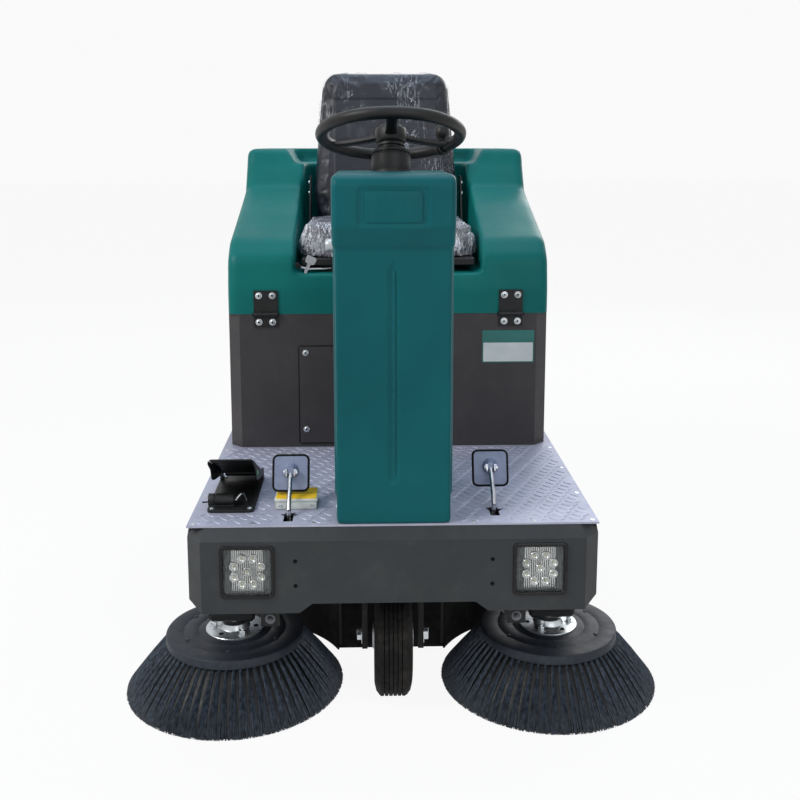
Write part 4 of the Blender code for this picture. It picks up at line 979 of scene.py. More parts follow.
def lamps():
    """Nine cup reflectors on a dark plate behind a fluted lens, in a square black housing."""
    for word, _ in SIDES:
        low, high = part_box(f"headlamp_{word}")
        cx, cz = (low.x + high.x) / 2, (low.z + high.z) / 2
        front = low.y
        floor = front + 0.012
        half = 0.0488
        bm = bmesh.new()
        add_prism(bm, square(cx, cz, half, 0.006, 4), floor - 0.0018, floor - 0.0003, "Y", mat=2)
        cups = [(0.0, 0.0)]
        for k in range(8):
            a = math.radians(22.5 + 45 * k)
            cups.append((CUP_RING * math.cos(a), CUP_RING * math.sin(a)))
        for x, z in cups:
            place = facing((cx + x, floor - 0.0018, cz + z), (0, -1, 0))
            cup = [(0.0, 0.0008), (0.004, 0.0009), (0.0062, 0.0026), (0.0078, 0.0056), (0.0088, 0.0058)]
            add_lathe(bm, cup + [(0.0096, 0.005), (0.01, 0.0)], place, 24)
            lens = [(0, 0.001), (0.003, 0.001), (0.003, 0.0018), (0.0022, 0.0028), (0.0, 0.0034)]
            add_lathe(bm, lens, place, 16, mat=1)
        for k in range(25):
            x = cx - half + 0.003 + k * (2 * half - 0.006) / 24
            reach = half - 0.003
            add_box(
                bm, (x - 0.0011, x + 0.0011), (floor - 0.004, floor - 0.0016), (cz - reach, cz + reach),
                bevel=0.0006, mat=0 if 3 < k < 21 else 2,
            )
        piece(f"lamp_reflector_{word}", bm, [CHROME, PHOSPHOR, LAMP_BACK], "chassis", smooth=50)
        pane = bmesh.new()
        add_prism(
            pane, square(cx, cz, half + 0.0004, 0.006, 5), front + 0.0022, front + 0.004, "Y", bevel=0.0006
        )
        for k in range(17):
            x = cx - half + 0.006 + k * (2 * half - 0.012) / 16
            add_box(
                pane, (x - 0.0014, x + 0.0014), (front + 0.0038, front + 0.0046),
                (cz - half + 0.004, cz + half - 0.004), bevel=0.0003, segments=1,
            )
        piece(f"lamp_lens_{word}", pane, LENS, "chassis", smooth=40)
        rim = bmesh.new()
        outer = (high.x - low.x) / 2 - 0.0002
        inner = half + 0.0004
        rings = [
            (outer, 0.01, 0.006), (outer, 0.01, 0.001), (outer - 0.0014, 0.0088, -0.0003),
            (inner + 0.0014, 0.0072, -0.0003), (inner, 0.006, 0.0012), (inner, 0.006, 0.005),
        ]
        add_frame(rim, [(square(cx, cz, reach, radius), front + depth) for reach, radius, depth in rings])
        piece(f"lamp_bezel_{word}", rim, BEZEL, "chassis", smooth=50)
        filler = bmesh.new()
        rings = [
            (outer + 0.002, 0.003, 0.002), (outer + 0.002, 0.003, -0.0001), (outer + 0.0016, 0.0028, -0.0004),
            (outer - 0.0006, 0.01, -0.0004), (outer - 0.0006, 0.01, 0.002),
        ]
        add_frame(filler, [(square(cx, cz, reach, radius), FACE + depth) for reach, radius, depth in rings])
        piece(f"lamp_surround_{word}", filler, GRAPHITE, "chassis", smooth=40)


deck_bars()
deck_fittings()
bumper_details()
lamps()


# Side brushes ------------------------------------------------------------------------------------

TUFTS, INNER_TUFTS, STRANDS = 64, 44, 26
TUFT_RING, TUFT_ROOT, TUFT_THICK = 0.1425, 0.115, 0.00125
FLANGE_RING = 0.0475


def tuft(bm, angle, root_radius, tip_radius, tip_height, spread, rng):
    """One bunch of filaments fanning out and down from its hole in the brush back."""
    for _ in range(STRANDS):
        a = angle + rng.gauss(0, 0.006)
        r0 = root_radius + rng.uniform(-0.0032, 0.0032)
        end = angle + rng.uniform(-spread, spread)
        r1 = tip_radius + rng.uniform(-0.0022, 0.0)
        z1 = tip_height + rng.uniform(0.0, 0.0006)
        bend = rng.uniform(0.35, 0.5)
        points = []
        for t in (0.0, 0.28, 0.62, 1.0):
            r = r0 + (r1 - r0) * (t ** 0.92)
            lift = TUFT_ROOT + (z1 - TUFT_ROOT) * (t ** (1.0 + 0.12 * bend))
            turn_at = a + (end - a) * t
            points.append(Vector((r * math.cos(turn_at), r * math.sin(turn_at), lift)))
        wide = TUFT_THICK * rng.uniform(0.8, 1.15)
        rings = []
        for k, point in enumerate(points):
            here = wide * (1.0 - 0.28 * k / 3)
            out = Vector((point.x, point.y, 0)).normalized()
            side = Vector((-out.y, out.x, 0))
            up = Vector((out.x * 0.7, out.y * 0.7, 0.7))
            rings.append([
                bm.verts.new(point + side * here * 0.87 - up * here * 0.5),
                bm.verts.new(point + up * here),
                bm.verts.new(point - side * here * 0.87 - up * here * 0.5),
            ])
        for low, high in zip(rings, rings[1:]):
            for i, j in ((0, 1), (1, 2), (2, 0)):
                bm.faces.new((low[j], low[i], high[i], high[j]))
        bm.faces.new(rings[0])
        bm.faces.new(rings[-1][::-1])


def side_brush(word, side):
    """A ring of nylon tufts under a moulded disc, with its plated hub plate and flange bolts."""
    disc_low, disc_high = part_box(f"brush_disc_{word}")
    centre = Vector(((disc_low.x + disc_high.x) / 2, (disc_low.y + disc_high.y) / 2, 0))
    body = f"side_brush_{word}"
    ring_low, ring_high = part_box(f"brush_bristles_{word}")
    tip = (ring_high.x - ring_low.x) / 2
    rng = random.Random(BRUSH_SEED + side)
    bm = bmesh.new()
    for angle in around(TUFTS):
        tuft(bm, angle, TUFT_RING, tip, 0.0012, 0.05, rng)
    for k in range(INNER_TUFTS):
        angle = 2 * math.pi * (k + 0.5) / INNER_TUFTS
        tuft(bm, angle, 0.118, tip - 0.03, 0.0014, 0.085, rng)
    outside = [(0.138, 0.112), (0.162, 0.093), (0.188, 0.066), (0.213, 0.037), (tip - 0.0045, 0.0018)]
    inside = [(tip - 0.024, 0.0022), (0.186, 0.037), (0.16, 0.07), (0.12, 0.11)]
    # the solid mass inside the tufts takes slot 1, the painted-shade nylon
    mass = add_lathe(bm, outside + inside, None, 256, closed=True, mat=1)
    for v in mass:
        angle = math.atan2(v.co.y, v.co.x)
        flute = 1.0 + 0.0042 * math.cos(2 * TUFTS * angle) + 0.006 * math.cos(TUFTS * angle)
        v.co.x *= flute
        v.co.y *= flute
    put(bm, bm.verts, shift(*centre))
    piece(
        f"bristles_{word}", bm, [NYLON, BRISTLE_SHADE], body, [f"brush_bristles_{word}"], smooth=0
    )

    disc = bmesh.new()
    z0 = disc_low.z + 0.0002
    rim = 0.1533
    profile = [
        (0.0, 0.0012), (0.06, 0.0012), (0.13, 0.0002), (0.1475, -0.0058), (rim - 0.003, -0.0062),
        (rim, -0.0035), (rim, 0.0135), (rim - 0.0012, 0.0152), (rim - 0.004, 0.016), (0.14, 0.0166),
        (0.118, 0.0168), (0.116, 0.016), (0.113, 0.016), (0.111, 0.017), (0.085, 0.0174),
        (0.083, 0.0166), (0.08, 0.0166), (0.078, 0.0176), (0.0, 0.0178),
    ]
    add_lathe(disc, [(r, z0 + z) for r, z in profile], None, 96)
    for a in around(TUFTS):
        place = turn(math.degrees(a), "Z") @ shift(TUFT_RING, 0, z0 - 0.004)
        add_lathe(
            disc, [(0, 0.0006), (0.0046, 0.0006), (0.0052, -0.0016), (0.0042, -0.0022), (0, -0.0022)], place,
            10
        )
    for k in range(6):
        place = turn(60 * k + 30, "Z") @ shift(0.112, 0, z0 + 0.0166)
        add_lathe(
            disc, [(0, -0.001), (0.0052, -0.001), (0.0052, 0.0006), (0.0038, 0.0016), (0, 0.0018)], place, 16
        )
    put(disc, disc.verts, shift(*centre))
    piece(f"brush_back_{word}", disc, DISC, body, [f"brush_disc_{word}"], smooth=40)

    hub = bmesh.new()
    top = z0 + 0.0178
    profile = [
        (0, -0.001), (0.0648, -0.001), (0.0652, 0.0022), (0.0644, 0.0032), (0.056, 0.004), (0.034, 0.0044),
        (0.0325, 0.006), (0.03, 0.017), (0.0285, 0.018), (0.0165, 0.0184), (0.0135, 0.0195),
        (0.012, 0.025), (0.012, 0.034), (0, 0.034),
    ]
    add_lathe(hub, [(r, top + z) for r, z in profile], None, 64)

    def flange_spot(degrees):
        a = math.radians(degrees + 32 * side)
        return (FLANGE_RING * math.cos(a), FLANGE_RING * math.sin(a), top + 0.004)

    for k in range(3):
        spot = flange_spot(120 * k + 90)
        add_hex_bolt(hub, spot, (0, 0, 1), 0.0125, 0.0085)
        add_lathe(
            hub, [(0, 0.008), (0.0036, 0.008), (0.0036, 0.0125), (0.0028, 0.0135), (0, 0.0135)], shift(*spot),
            14
        )
    for k in range(3):
        spot = flange_spot(120 * k + 150)
        add_lathe(
            hub, [(0, -0.0002), (0.0056, -0.0002), (0.0056, 0.0006), (0, 0.0006)], shift(*spot), 20, mat=1
        )
    put(hub, hub.verts, shift(*centre))
    piece(f"brush_hub_{word}", hub, [ZINC, SOCKET], body, smooth=40)

    cap = bmesh.new()
    motor_low, motor_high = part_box(f"brush_motor_{word}")
    mid_x, mid_y = (motor_low.x + motor_high.x) / 2, (motor_low.y + motor_high.y) / 2
    across, along = (mid_x - 0.046, mid_x + 0.046), (mid_y - 0.046, mid_y + 0.046)
    front = (motor_low.y - 0.0008, motor_low.y + 0.001)
    flank_a = (motor_low.x - 0.0008, motor_low.x + 0.001)
    flank_b = (motor_high.x - 0.001, motor_high.x + 0.0008)
    for sx, sy in product((-1, 1), (-1, 1)):
        spot = (mid_x + sx * 0.04, mid_y + sy * 0.04, motor_high.z - 0.0002)
        add_hex_bolt(cap, spot, (0, 0, 1), 0.0085, 0.0045)
    for k in range(5):
        z = motor_low.z + 0.012 + k * 0.0115
        for x, y in ((across, front), (flank_a, along), (flank_b, along)):
            add_box(cap, x, y, (z, z + 0.0055), bevel=0.0006, segments=1, mat=1)
    piece(f"motor_fins_{word}", cap, [ZINC, BLACK_METAL], f"brush_carrier_{word}")

    clamp = bmesh.new()
    x = side * 0.26
    add_box(clamp, (x - 0.02, x + 0.02), (at(0.046), at(0.052)), (0.207, 0.2586), bevel=0.003, mat=1)
    add_box(clamp, (x - 0.014, x + 0.014), (at(0.0465), at(0.0515)), (0.25, 0.4335), bevel=0.0015, mat=1)
    spot = (x, at(0.0462), 0.2245)
    add_hex_bolt(clamp, spot, (0, -1, 0), 0.0118, 0.008)
    stud = [(0, 0.007), (0.0034, 0.007), (0.0034, 0.0115), (0, 0.0118)]
    add_lathe(clamp, stud, facing(spot, (0, -1, 0)), 14)
    piece(f"brush_stop_{word}", clamp, [DARK_STEEL, BLACK_METAL], "chassis")


for word, side in SIDES:
    side_brush(word, side)


# Steering ----------------------------------------------------------------------------------------

WHEEL_CENTRE = Vector((0, at(0.28), 1.231))
WHEEL_PLACE = shift(*WHEEL_CENTRE) @ turn(-17, "X")
RIM_RADIUS, RIM_GRIP, FINGERS = 0.1515, 0.0135, 24


def steering():
    """The rim with its finger moulding, three spokes, the boss, horn button, knob and ribbed collar."""
    bm = bmesh.new()

    def grip(a):
        """The rim's section at an angle, swelling between the fingers on its inner side."""
        swell = 0.00055 * max(0.0, math.cos(a * FINGERS)) - 0.0004
        section = []
        for b in around(20):
            reach = RIM_GRIP + (swell if math.cos(b) < 0.2 else -0.0002)
            flat = 1.0 if math.cos(b) > 0 else 0.98
            section.append((reach * math.cos(b) * flat, (RIM_GRIP - 0.0002) * math.sin(b)))
        return section

    rings = []
    for a in around(144):
        point = Vector((RIM_RADIUS * math.cos(a), RIM_RADIUS * math.sin(a), 0))
        out = point.normalized()
        rings.append([bm.verts.new(point + out * u + Vector((0, 0, v))) for u, v in grip(a)])
    loft(bm, rings, closed=True)
    for angle in (-90, 30, 150):
        out = Vector((math.cos(math.radians(angle)), math.sin(math.radians(angle)), 0))
        side = Vector((-out.y, out.x, 0))
        path = [
            (0.02, -0.003), (0.05, -0.0034), (0.083, -0.0032), (0.116, -0.0022), (0.133, -0.001), (0.144, 0.0)
        ]
        spoke = []
        for k, (r, z) in enumerate(path):
            half = 0.014 - 0.0028 * math.sin(math.pi * min(k / 4, 1.0)) + (0.003 if k == 5 else 0)
            thick = 0.0048
            flank = [(half, -thick * 0.5), (half * 0.86, thick), (half * 0.35, thick * 0.98)]
            section = flank + [(0, thick * 0.62)] + [(-u, v) for u, v in flank[::-1]]
            section += [(-half * 0.7, -thick), (half * 0.7, -thick)]
            spoke.append([bm.verts.new(out * r + side * u + Vector((0, 0, z + v))) for u, v in section])
        loft(bm, spoke)
        bm.faces.new(spoke[0])
        bm.faces.new(spoke[-1][::-1])
    boss = [(0.0, -0.02), (0.027, -0.02), (0.031, -0.0186), (0.0338, -0.012), (0.034, 0.009)]
    boss += [
        (0.0328, 0.0125), (0.03, 0.014), (0.025, 0.014), (0.0246, 0.0132), (0.0246, 0.0088), (0.0, 0.0088)
    ]
    add_lathe(bm, boss, None, 64)
    bmesh.ops.recalc_face_normals(bm, faces=bm.faces)
    put(bm, bm.verts, WHEEL_PLACE)
    piece("steering_rim", bm, GRIP, "steering_wheel_body", ["steering_wheel"], smooth=50)

    horn = bmesh.new()
    cap = [(0.0, 0.0123), (0.0236, 0.0123), (0.0238, 0.019), (0.0228, 0.0208), (0.02, 0.0216)]
    cap += [(0.0192, 0.0209), (0.018, 0.0209), (0.0172, 0.0217), (0.01, 0.022), (0.0, 0.022)]
    add_lathe(horn, cap, WHEEL_PLACE, 56)
    piece("horn_cap", horn, [BLACK, RED], "horn", ["horn_button"], smooth=50)

    knob_at = Vector((RIM_RADIUS * math.cos(math.radians(38)), RIM_RADIUS * math.sin(math.radians(38)), 0))
    knob = bmesh.new()
    ball = [(0.0, 0.014), (0.011, 0.014), (0.0118, 0.015), (0.012, 0.0165), (0.0096, 0.0182), (0.009, 0.02)]
    ball += [(0.0124, 0.0235), (0.0158, 0.0285), (0.017, 0.0345), (0.0166, 0.042)]
    ball += [(0.014, 0.049), (0.009, 0.0528), (0.0, 0.0538)]
    add_lathe(knob, ball, WHEEL_PLACE @ shift(*knob_at), 40)
    piece("knob_grip", knob, BLACK, "knob", ["spinner_knob"], smooth=60)
    clip = bmesh.new()
    tangent = Vector((-knob_at.y, knob_at.x, 0)).normalized()
    out = knob_at.normalized()
    ring = [knob_at + out * 0.015 * math.cos(a) + Vector((0, 0, 1)) * 0.015 * math.sin(a) for a in around(24)]
    band = [(0.0018, -0.0035), (0.0018, 0.0035), (-0.001, 0.0035), (-0.001, -0.0035)]
    for off in (-0.0055, 0.0055):
        add_sweep(clip, [p + tangent * off for p in ring], band, closed=True, first=tangent.cross(out))
    put(clip, clip.verts, WHEEL_PLACE)
    piece("knob_clamp", clip, BLACK, "steering_wheel_body", smooth=50)

    collar = bmesh.new()
    profile = [
        (0.0, -0.252), (0.0425, -0.252), (0.0425, -0.155), (0.04, -0.153), (0.04, -0.149), (0.0425, -0.147)
    ]
    for k in range(5):
        z = -0.145 + 0.0125 * k
        profile += [(0.0425, z), (0.0425, z + 0.007), (0.0402, z + 0.0085), (0.0402, z + 0.0105)]
    profile += [(0.0425, -0.08), (0.0425, -0.05), (0.04, -0.048), (0.04, -0.0455)]
    profile += [(0.0424, -0.044), (0.042, -0.039), (0.0365, -0.0352), (0.0, -0.0352)]
    add_lathe(collar, profile, WHEEL_PLACE, 72)
    piece("column_gaiter", collar, GRIP, "chassis", ["steering_jacket"], smooth=40)
    sleeve = bmesh.new()
    neck = [(0.0, -0.0346), (0.029, -0.0346), (0.0302, -0.033), (0.0302, -0.03), (0.028, -0.0285)]
    neck += [(0.0302, -0.027), (0.0302, -0.024), (0.029, -0.0206), (0.0, -0.0206)]
    add_lathe(sleeve, neck, WHEEL_PLACE, 40)
    piece("shaft_sleeve", sleeve, GRIP, "steering_wheel_body")


steering()


# Seat --------------------------------------------------------------------------------------------


CLOTH_VOXEL, CLOTH_PRESSURE, CLOTH_FRAMES = 0.0062, 4.0, 20


def puffed(bm, name, cap, held):
    """A cloth skin blown up from a slack shape: gravity off, and no point moves past the cap."""
    skin = voxel(bm, CLOTH_VOXEL, 1, name)
    rest = [v.co.copy() for v in skin.verts]
    obj = in_scene(name, skin)
    pins = obj.vertex_groups.new(name="held")
    pins.add([v.index for v in obj.data.vertices if held(v.co)], 1.0, "REPLACE")
    cloth = obj.modifiers.new("cloth", "CLOTH")
    settings = cloth.settings
    settings.quality = 4
    settings.mass = 0.3
    settings.tension_stiffness = settings.compression_stiffness = 12
    settings.bending_stiffness = 0.4
    settings.use_pressure = True
    settings.uniform_pressure_force = CLOTH_PRESSURE
    settings.effector_weights.gravity = 0
    settings.vertex_group_mass = "held"
    cloth.collision_settings.use_collision = False
    scene = bpy.context.scene
    for step in range(1, CLOTH_FRAMES + 1):
        scene.frame_set(step)
    out = evaluated(obj)
    for v, start in zip(out.verts, rest):
        move = v.co - start
        if move.length > cap:
            v.co = start + move.normalized() * cap
    discard(obj)
    scene.frame_set(1)
    return out


def seams(bm, lines, depth, width):
    """Presses a sewn channel along each line, given as a distance function."""
    bm.normal_update()
    moves = []
    for v in bm.verts:
        push = 0.0
        for line in lines:
            d = line(v.co)
            if d < width * 2.2:
                push = max(push, math.exp(-(d / width) ** 2))
        moves.append(push * depth)
    for v, push in zip(bm.verts, moves):
        v.co -= v.normal * push


CUSHION_LOW, CUSHION_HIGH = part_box("seat_cushion")
BACK_LOW, BACK_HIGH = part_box("seat_back")
CORNER_POWER = 0.42


def pillow(bm, low, high, inset):
    """A cushion's blank: full in its middle, with rounded corners in plan."""
    x, y = high.x - inset, (high.y - low.y) / 2 - inset
    cy = (high.y + low.y) / 2
    z0, z1 = low.z + 0.002, high.z - inset * 0.8
    layers = [
        (0.9, z0), (0.985, z0 + 0.012), (1.0, (z0 + z1) / 2), (0.975, z1 - 0.02), (0.9, z1 - 0.006),
        (0.76, z1)
    ]
    rings = []
    for share, z in layers:
        ring = []
        for a in around(56):
            c, s = math.cos(a), math.sin(a)
            px = math.copysign(abs(c) ** CORNER_POWER, c) * (x - (1 - share) * 0.11)
            py = math.copysign(abs(s) ** CORNER_POWER, s) * (y - (1 - share) * 0.11)
            ring.append(bm.verts.new((px, cy + py, z)))
        rings.append(ring)
    loft(bm, rings)
    bm.faces.new(rings[0][::-1])
    bm.faces.new(rings[-1])
    bmesh.ops.recalc_face_normals(bm, faces=bm.faces)


def wrinkled(bm, push, size, depth, stretch, seed):
    """Film lying over a pad: pushed off it a little and gathered into sharp folds."""
    bm.normal_update()
    origin = Vector((seed, seed * 0.7, seed * 1.3))
    moves = []
    for v in bm.verts:
        p = Vector((v.co.x * stretch[0], v.co.y * stretch[1], v.co.z * stretch[2])) * size + origin
        broad = noise.noise(p * 0.35 + origin)
        ridge = 1.0 - abs(noise.noise(p + Vector((broad, broad, broad)) * 1.4)) * 2.6
        fine = 1.0 - abs(noise.noise(p * 2.7 + origin)) * 2.2
        moves.append(push + depth * (max(ridge, 0.0) ** 3 * 1.25 + 0.3 * max(fine, 0.0) ** 3))
    for v, move in zip(bm.verts, moves):
        v.co += v.normal * move


def subdivided(bm):
    bmesh.ops.subdivide_edges(bm, edges=bm.edges, cuts=1, use_grid_fill=True, smooth=0.0)
    bmesh.ops.smooth_vert(bm, verts=bm.verts, factor=0.5, use_axis_x=True, use_axis_y=True, use_axis_z=True)


def fit_inside(bm, low, high, margin):
    """Keeps the skin within its own solid's box and the little that fabric may stand proud."""
    for v in bm.verts:
        v.co.x = min(max(v.co.x, low.x - margin), high.x + margin)
        v.co.y = min(max(v.co.y, low.y - margin), high.y + margin)
        v.co.z = min(max(v.co.z, low.z), high.z + margin)


def cushion():
    """The seat cushion in navy vinyl: a crowned pad with a piped edge and two sewn channels."""
    bm = bmesh.new()
    pillow(bm, CUSHION_LOW, CUSHION_HIGH, 0.005)
    base = CUSHION_LOW.z + 0.006
    pad = puffed(bm, "cushion_blank", 0.012, lambda co: co.z < base)
    middle = (CUSHION_HIGH.y + CUSHION_LOW.y) / 2

    def channel(y):
        return lambda co: abs(co.y - y) if co.z > CUSHION_HIGH.z - 0.03 and abs(co.x) < 0.185 else 1.0

    def piping(co):
        return abs(co.z - (CUSHION_HIGH.z - 0.026))

    seams(pad, [channel(middle - 0.062), channel(middle + 0.062), piping], 0.004, 0.0045)
    film = pad.copy()
    subdivided(pad)
    fit_inside(pad, CUSHION_LOW, CUSHION_HIGH, 0.002)
    made = piece("cushion_pad", pad, VINYL, "seat", ["seat_cushion"], smooth=70)
    subdivided(film)
    wrinkled(film, 0.0022, 22.0, 0.0062, (1.5, 1.0, 0.8), 3.1)
    for v in film.verts:
        v.co.z = max(v.co.z, CUSHION_LOW.z + 0.0005)
    bottom = [f for f in film.faces if all(v.co.z < CUSHION_LOW.z + 0.004 for v in f.verts)]
    bmesh.ops.delete(film, geom=bottom, context="FACES")
    fit_inside(film, CUSHION_LOW, CUSHION_HIGH, 0.0034)
    wrap = piece("cushion_film", film, BUNCHED_FILM, "seat", smooth=50)


def seat_back():
    """The tall seat back, puffed between its side seams, in navy vinyl."""
    lean = math.radians(8)
    foot = Vector((0, at(0.94), BACK_LOW.z))
    place = shift(*foot) @ Matrix.Rotation(-lean, 4, "X")
    rise = (BACK_HIGH.z - BACK_LOW.z) / math.cos(lean) - 0.01
    outline = [
        (-0.19, 0.0), (0.19, 0.0), (0.2115, rise * 0.26),
        (0.183, rise - 0.004), (-0.183, rise - 0.004), (-0.2115, rise * 0.26),
    ]
    outline = rounded_outline(outline, [0.045, 0.045, 0.1, 0.058, 0.058, 0.1], 8)
    bm = bmesh.new()
    add_prism(bm, outline, 0.008, 0.068, "Y", bevel=0.02, segments=4)
    put(bm, bm.verts, place)
    normal = (place.to_3x3() @ Vector((0, 1, 0))).normalized()
    rear = foot + normal * 0.062

    def on_shell(co):
        return (co - rear).dot(normal) > 0

    pad = puffed(bm, "back_blank", 0.01, on_shell)
    back = place.inverted()

    def rib(height):
        return lambda co: abs((back @ co).z - height) if (back @ co).y < 0.03 and abs(co.x) < 0.15 else 1.0

    def side_seam(co):
        local = back @ co
        if local.y > 0.035:
            return 1.0
        return abs(abs(local.x) - 0.152) if 0.05 < local.z < rise - 0.05 else 1.0

    def back_seam(co):
        return abs((back @ co).y - 0.034)

    seams(pad, [rib(rise * 0.3), rib(rise * 0.55), rib(rise * 0.8), side_seam, back_seam], 0.0034, 0.0042)
    film = pad.copy()
    subdivided(pad)
    made = piece("back_pad", pad, VINYL, "seat", ["seat_back"], smooth=70)
    subdivided(film)
    wrinkled(film, 0.0018, 13.0, 0.0036, (1.9, 1.0, 0.62), 9.4)
    bottom = [f for f in film.faces if all(v.co.z < BACK_LOW.z + 0.01 for v in f.verts)]
    bmesh.ops.delete(film, geom=bottom, context="FACES")
    wrap = piece("back_film", film, FILM, "seat", smooth=50)


def seat_frame():
    """The slide lever with its grip, and the bolts of the recliner strips."""
    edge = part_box("seat_pan")[1].x
    bm = bmesh.new()
    lever = [
        Vector((-0.12, at(0.64), 0.899)), Vector((-0.165, at(0.612), 0.897)), Vector(
            (-0.205, at(0.588), 0.899)
        ),
        Vector((-0.222, at(0.58), 0.905)),
    ]
    add_sweep(bm, lever, circle(0.0036))
    knob = [lever[-1], Vector((-0.229, at(0.5775), 0.91)), Vector((-0.2315, at(0.5765), 0.916))]
    add_sweep(bm, knob, circle(0.0058), mat=1)
    piece("seat_lever", bm, [STEEL, GRIP], "seat")
    bolts = bmesh.new()
    for (_, side), (depth, z) in product(SIDES, ((0.95, 0.935), (1.025, 1.07), (1.035, 1.1))):
        add_hex_bolt(bolts, (side * (edge - 0.0006), at(depth), z), (side, 0, 0), 0.01, 0.005)
    piece("seat_bolts", bolts, ZINC, "seat")


cushion()
seat_back()
seat_frame()


# Wheels and broom --------------------------------------------------------------------------------


GROOVE, RIBS, SLOT_SHARE = 0.0045, 6, 0.2
AXLE_RADIUS = 0.0103
BROOM_ROWS, BROOM_BUNCHES, BROOM_CORE = 12, 46, 0.044


def tyre(name, centre, radius, width, rim_radius, body, replaced, blocks):
    """A solid rubber tyre with bevelled shoulders, circumferential grooves and cross slots."""
    bm = bmesh.new()
    half = width / 2
    r = radius
    wall = [
        (rim_radius + 0.001, half - 0.004), (rim_radius + 0.01, half - 0.0008), (r - 0.026, half - 0.0004)
    ]
    wall += [(r - 0.012, half - 0.004), (r - 0.003, half - 0.011)]
    outline = [(reach, -z) for reach, z in wall]
    tread = width - 0.026
    for k in range(RIBS):
        a = -tread / 2 + tread * k / RIBS
        b = a + tread / RIBS
        outline += [
            (r - 0.0004, a + 0.0005), (r, a + 0.0024), (r, b - 0.0026), (r - GROOVE * 0.3, b - 0.0014)
        ]
        if k < RIBS - 1:
            outline += [(r - GROOVE, b - 0.001), (r - GROOVE, b + 0.0001)]
    outline += wall[::-1]
    add_lathe(bm, outline, None, 96, closed=True)
    for v in bm.verts:
        reach = math.hypot(v.co.x, v.co.y)
        if reach > r - 0.014:
            a = math.atan2(v.co.y, v.co.x)
            phase = (a * blocks / (2 * math.pi)) % 1.0
            if phase < SLOT_SHARE and abs(v.co.z) > width * 0.16:
                scale = (reach - GROOVE * 0.9) / reach
                v.co.x *= scale
                v.co.y *= scale
    for s, ring in product((-1, 1), (r - 0.03, r - 0.04)):
        bead = [(ring - 0.0012, s * (half - 0.0012)), (ring, s * (half + 0.0002))]
        bead += [(ring + 0.0012, s * (half - 0.0012)), (ring, s * (half - 0.003))]
        add_lathe(bm, bead, None, 72, closed=True)
    bmesh.ops.recalc_face_normals(bm, faces=bm.faces)
    put(bm, bm.verts, shift(*centre) @ turn(90, "Y"))
    piece(name, bm, TYRE, body, [replaced], smooth=35)


def hub(name, centre, rim_radius, width, body, replaced, bolts):
    """A spoked rim: dished discs, a bearing boss with its dust cap, and a ring of bolts."""
    bm = bmesh.new()
    half = width / 2
    dish = [
        (AXLE_RADIUS, half + 0.004), (0.03, half + 0.004), (0.032, half - 0.001), (0.036, half - 0.008),
        (rim_radius - 0.016, half - 0.012), (rim_radius - 0.01, half - 0.004),
        (rim_radius - 0.0004, half - 0.002),
    ]
    add_lathe(bm, [(r, -z) for r, z in dish] + dish[::-1], None, 64, closed=True)
    for s in (-1, 1):
        for k in range(bolts):
            a = 2 * math.pi * k / bolts + 0.3
            spot = (0.048 * math.cos(a), 0.048 * math.sin(a), s * (half - 0.0098))
            add_hex_bolt(bm, spot, (0, 0, s), 0.011, 0.007, mat=1)
        for k in range(bolts):
            a = 2 * math.pi * (k + 0.5) / bolts + 0.3
            spot = (0.052 * math.cos(a), 0.052 * math.sin(a), s * (half - 0.0112))
            cup = [(0, 0), (0.0075, 0), (0.0085, 0.0012), (0.0075, 0.0024), (0, 0.0004)]
            add_lathe(bm, cup, facing(spot, (0, 0, s)), 20, mat=2)
    bmesh.ops.recalc_face_normals(bm, faces=bm.faces)
    put(bm, bm.verts, shift(*centre) @ turn(90, "Y"))
    piece(name, bm, [CAST, ZINC, SOCKET], body, [replaced], smooth=40)


def wheels():
    """The steered front wheel, the two rear wheels and the bolts that hold them."""
    front = Vector((0, at(0.16), 0.13))
    tyre("front_tread", front, 0.13, 0.0825, 0.075, "front_wheel", "front_tyre", 26)
    hub("front_rim", front, 0.075, 0.0825, "front_wheel", "front_hub", 5)
    for word, side in SIDES:
        centre = Vector((side * 0.352, at(1.18), 0.14))
        body = f"rear_wheel_{word}"
        tyre(f"rear_tread_{word}", centre, 0.14, 0.08, 0.08, body, f"rear_{word}_tyre", 28)
        hub(f"rear_rim_{word}", centre, 0.08, 0.08, body, f"rear_{word}_hub", 6)
    bm = bmesh.new()
    for side in (-1, 1):
        add_hex_bolt(bm, (side * 0.068, at(0.16), 0.13), (side, 0, 0), 0.022, 0.012)
        for depth in (0.143, 0.177):
            add_hex_bolt(bm, (side * 0.068, at(depth), 0.276), (side, 0, 0), 0.01, 0.0055)
    piece("fork_nuts", bm, ZINC, "fork")
    bm = bmesh.new()
    for side, depth, z in product((-1, 1), (1.15, 1.21), (0.3, 0.35)):
        add_hex_bolt(bm, (side * 0.2845, at(depth), z), (-side, 0, 0), 0.012, 0.007)
    piece("axle_plate_bolts", bm, ZINC, "chassis")


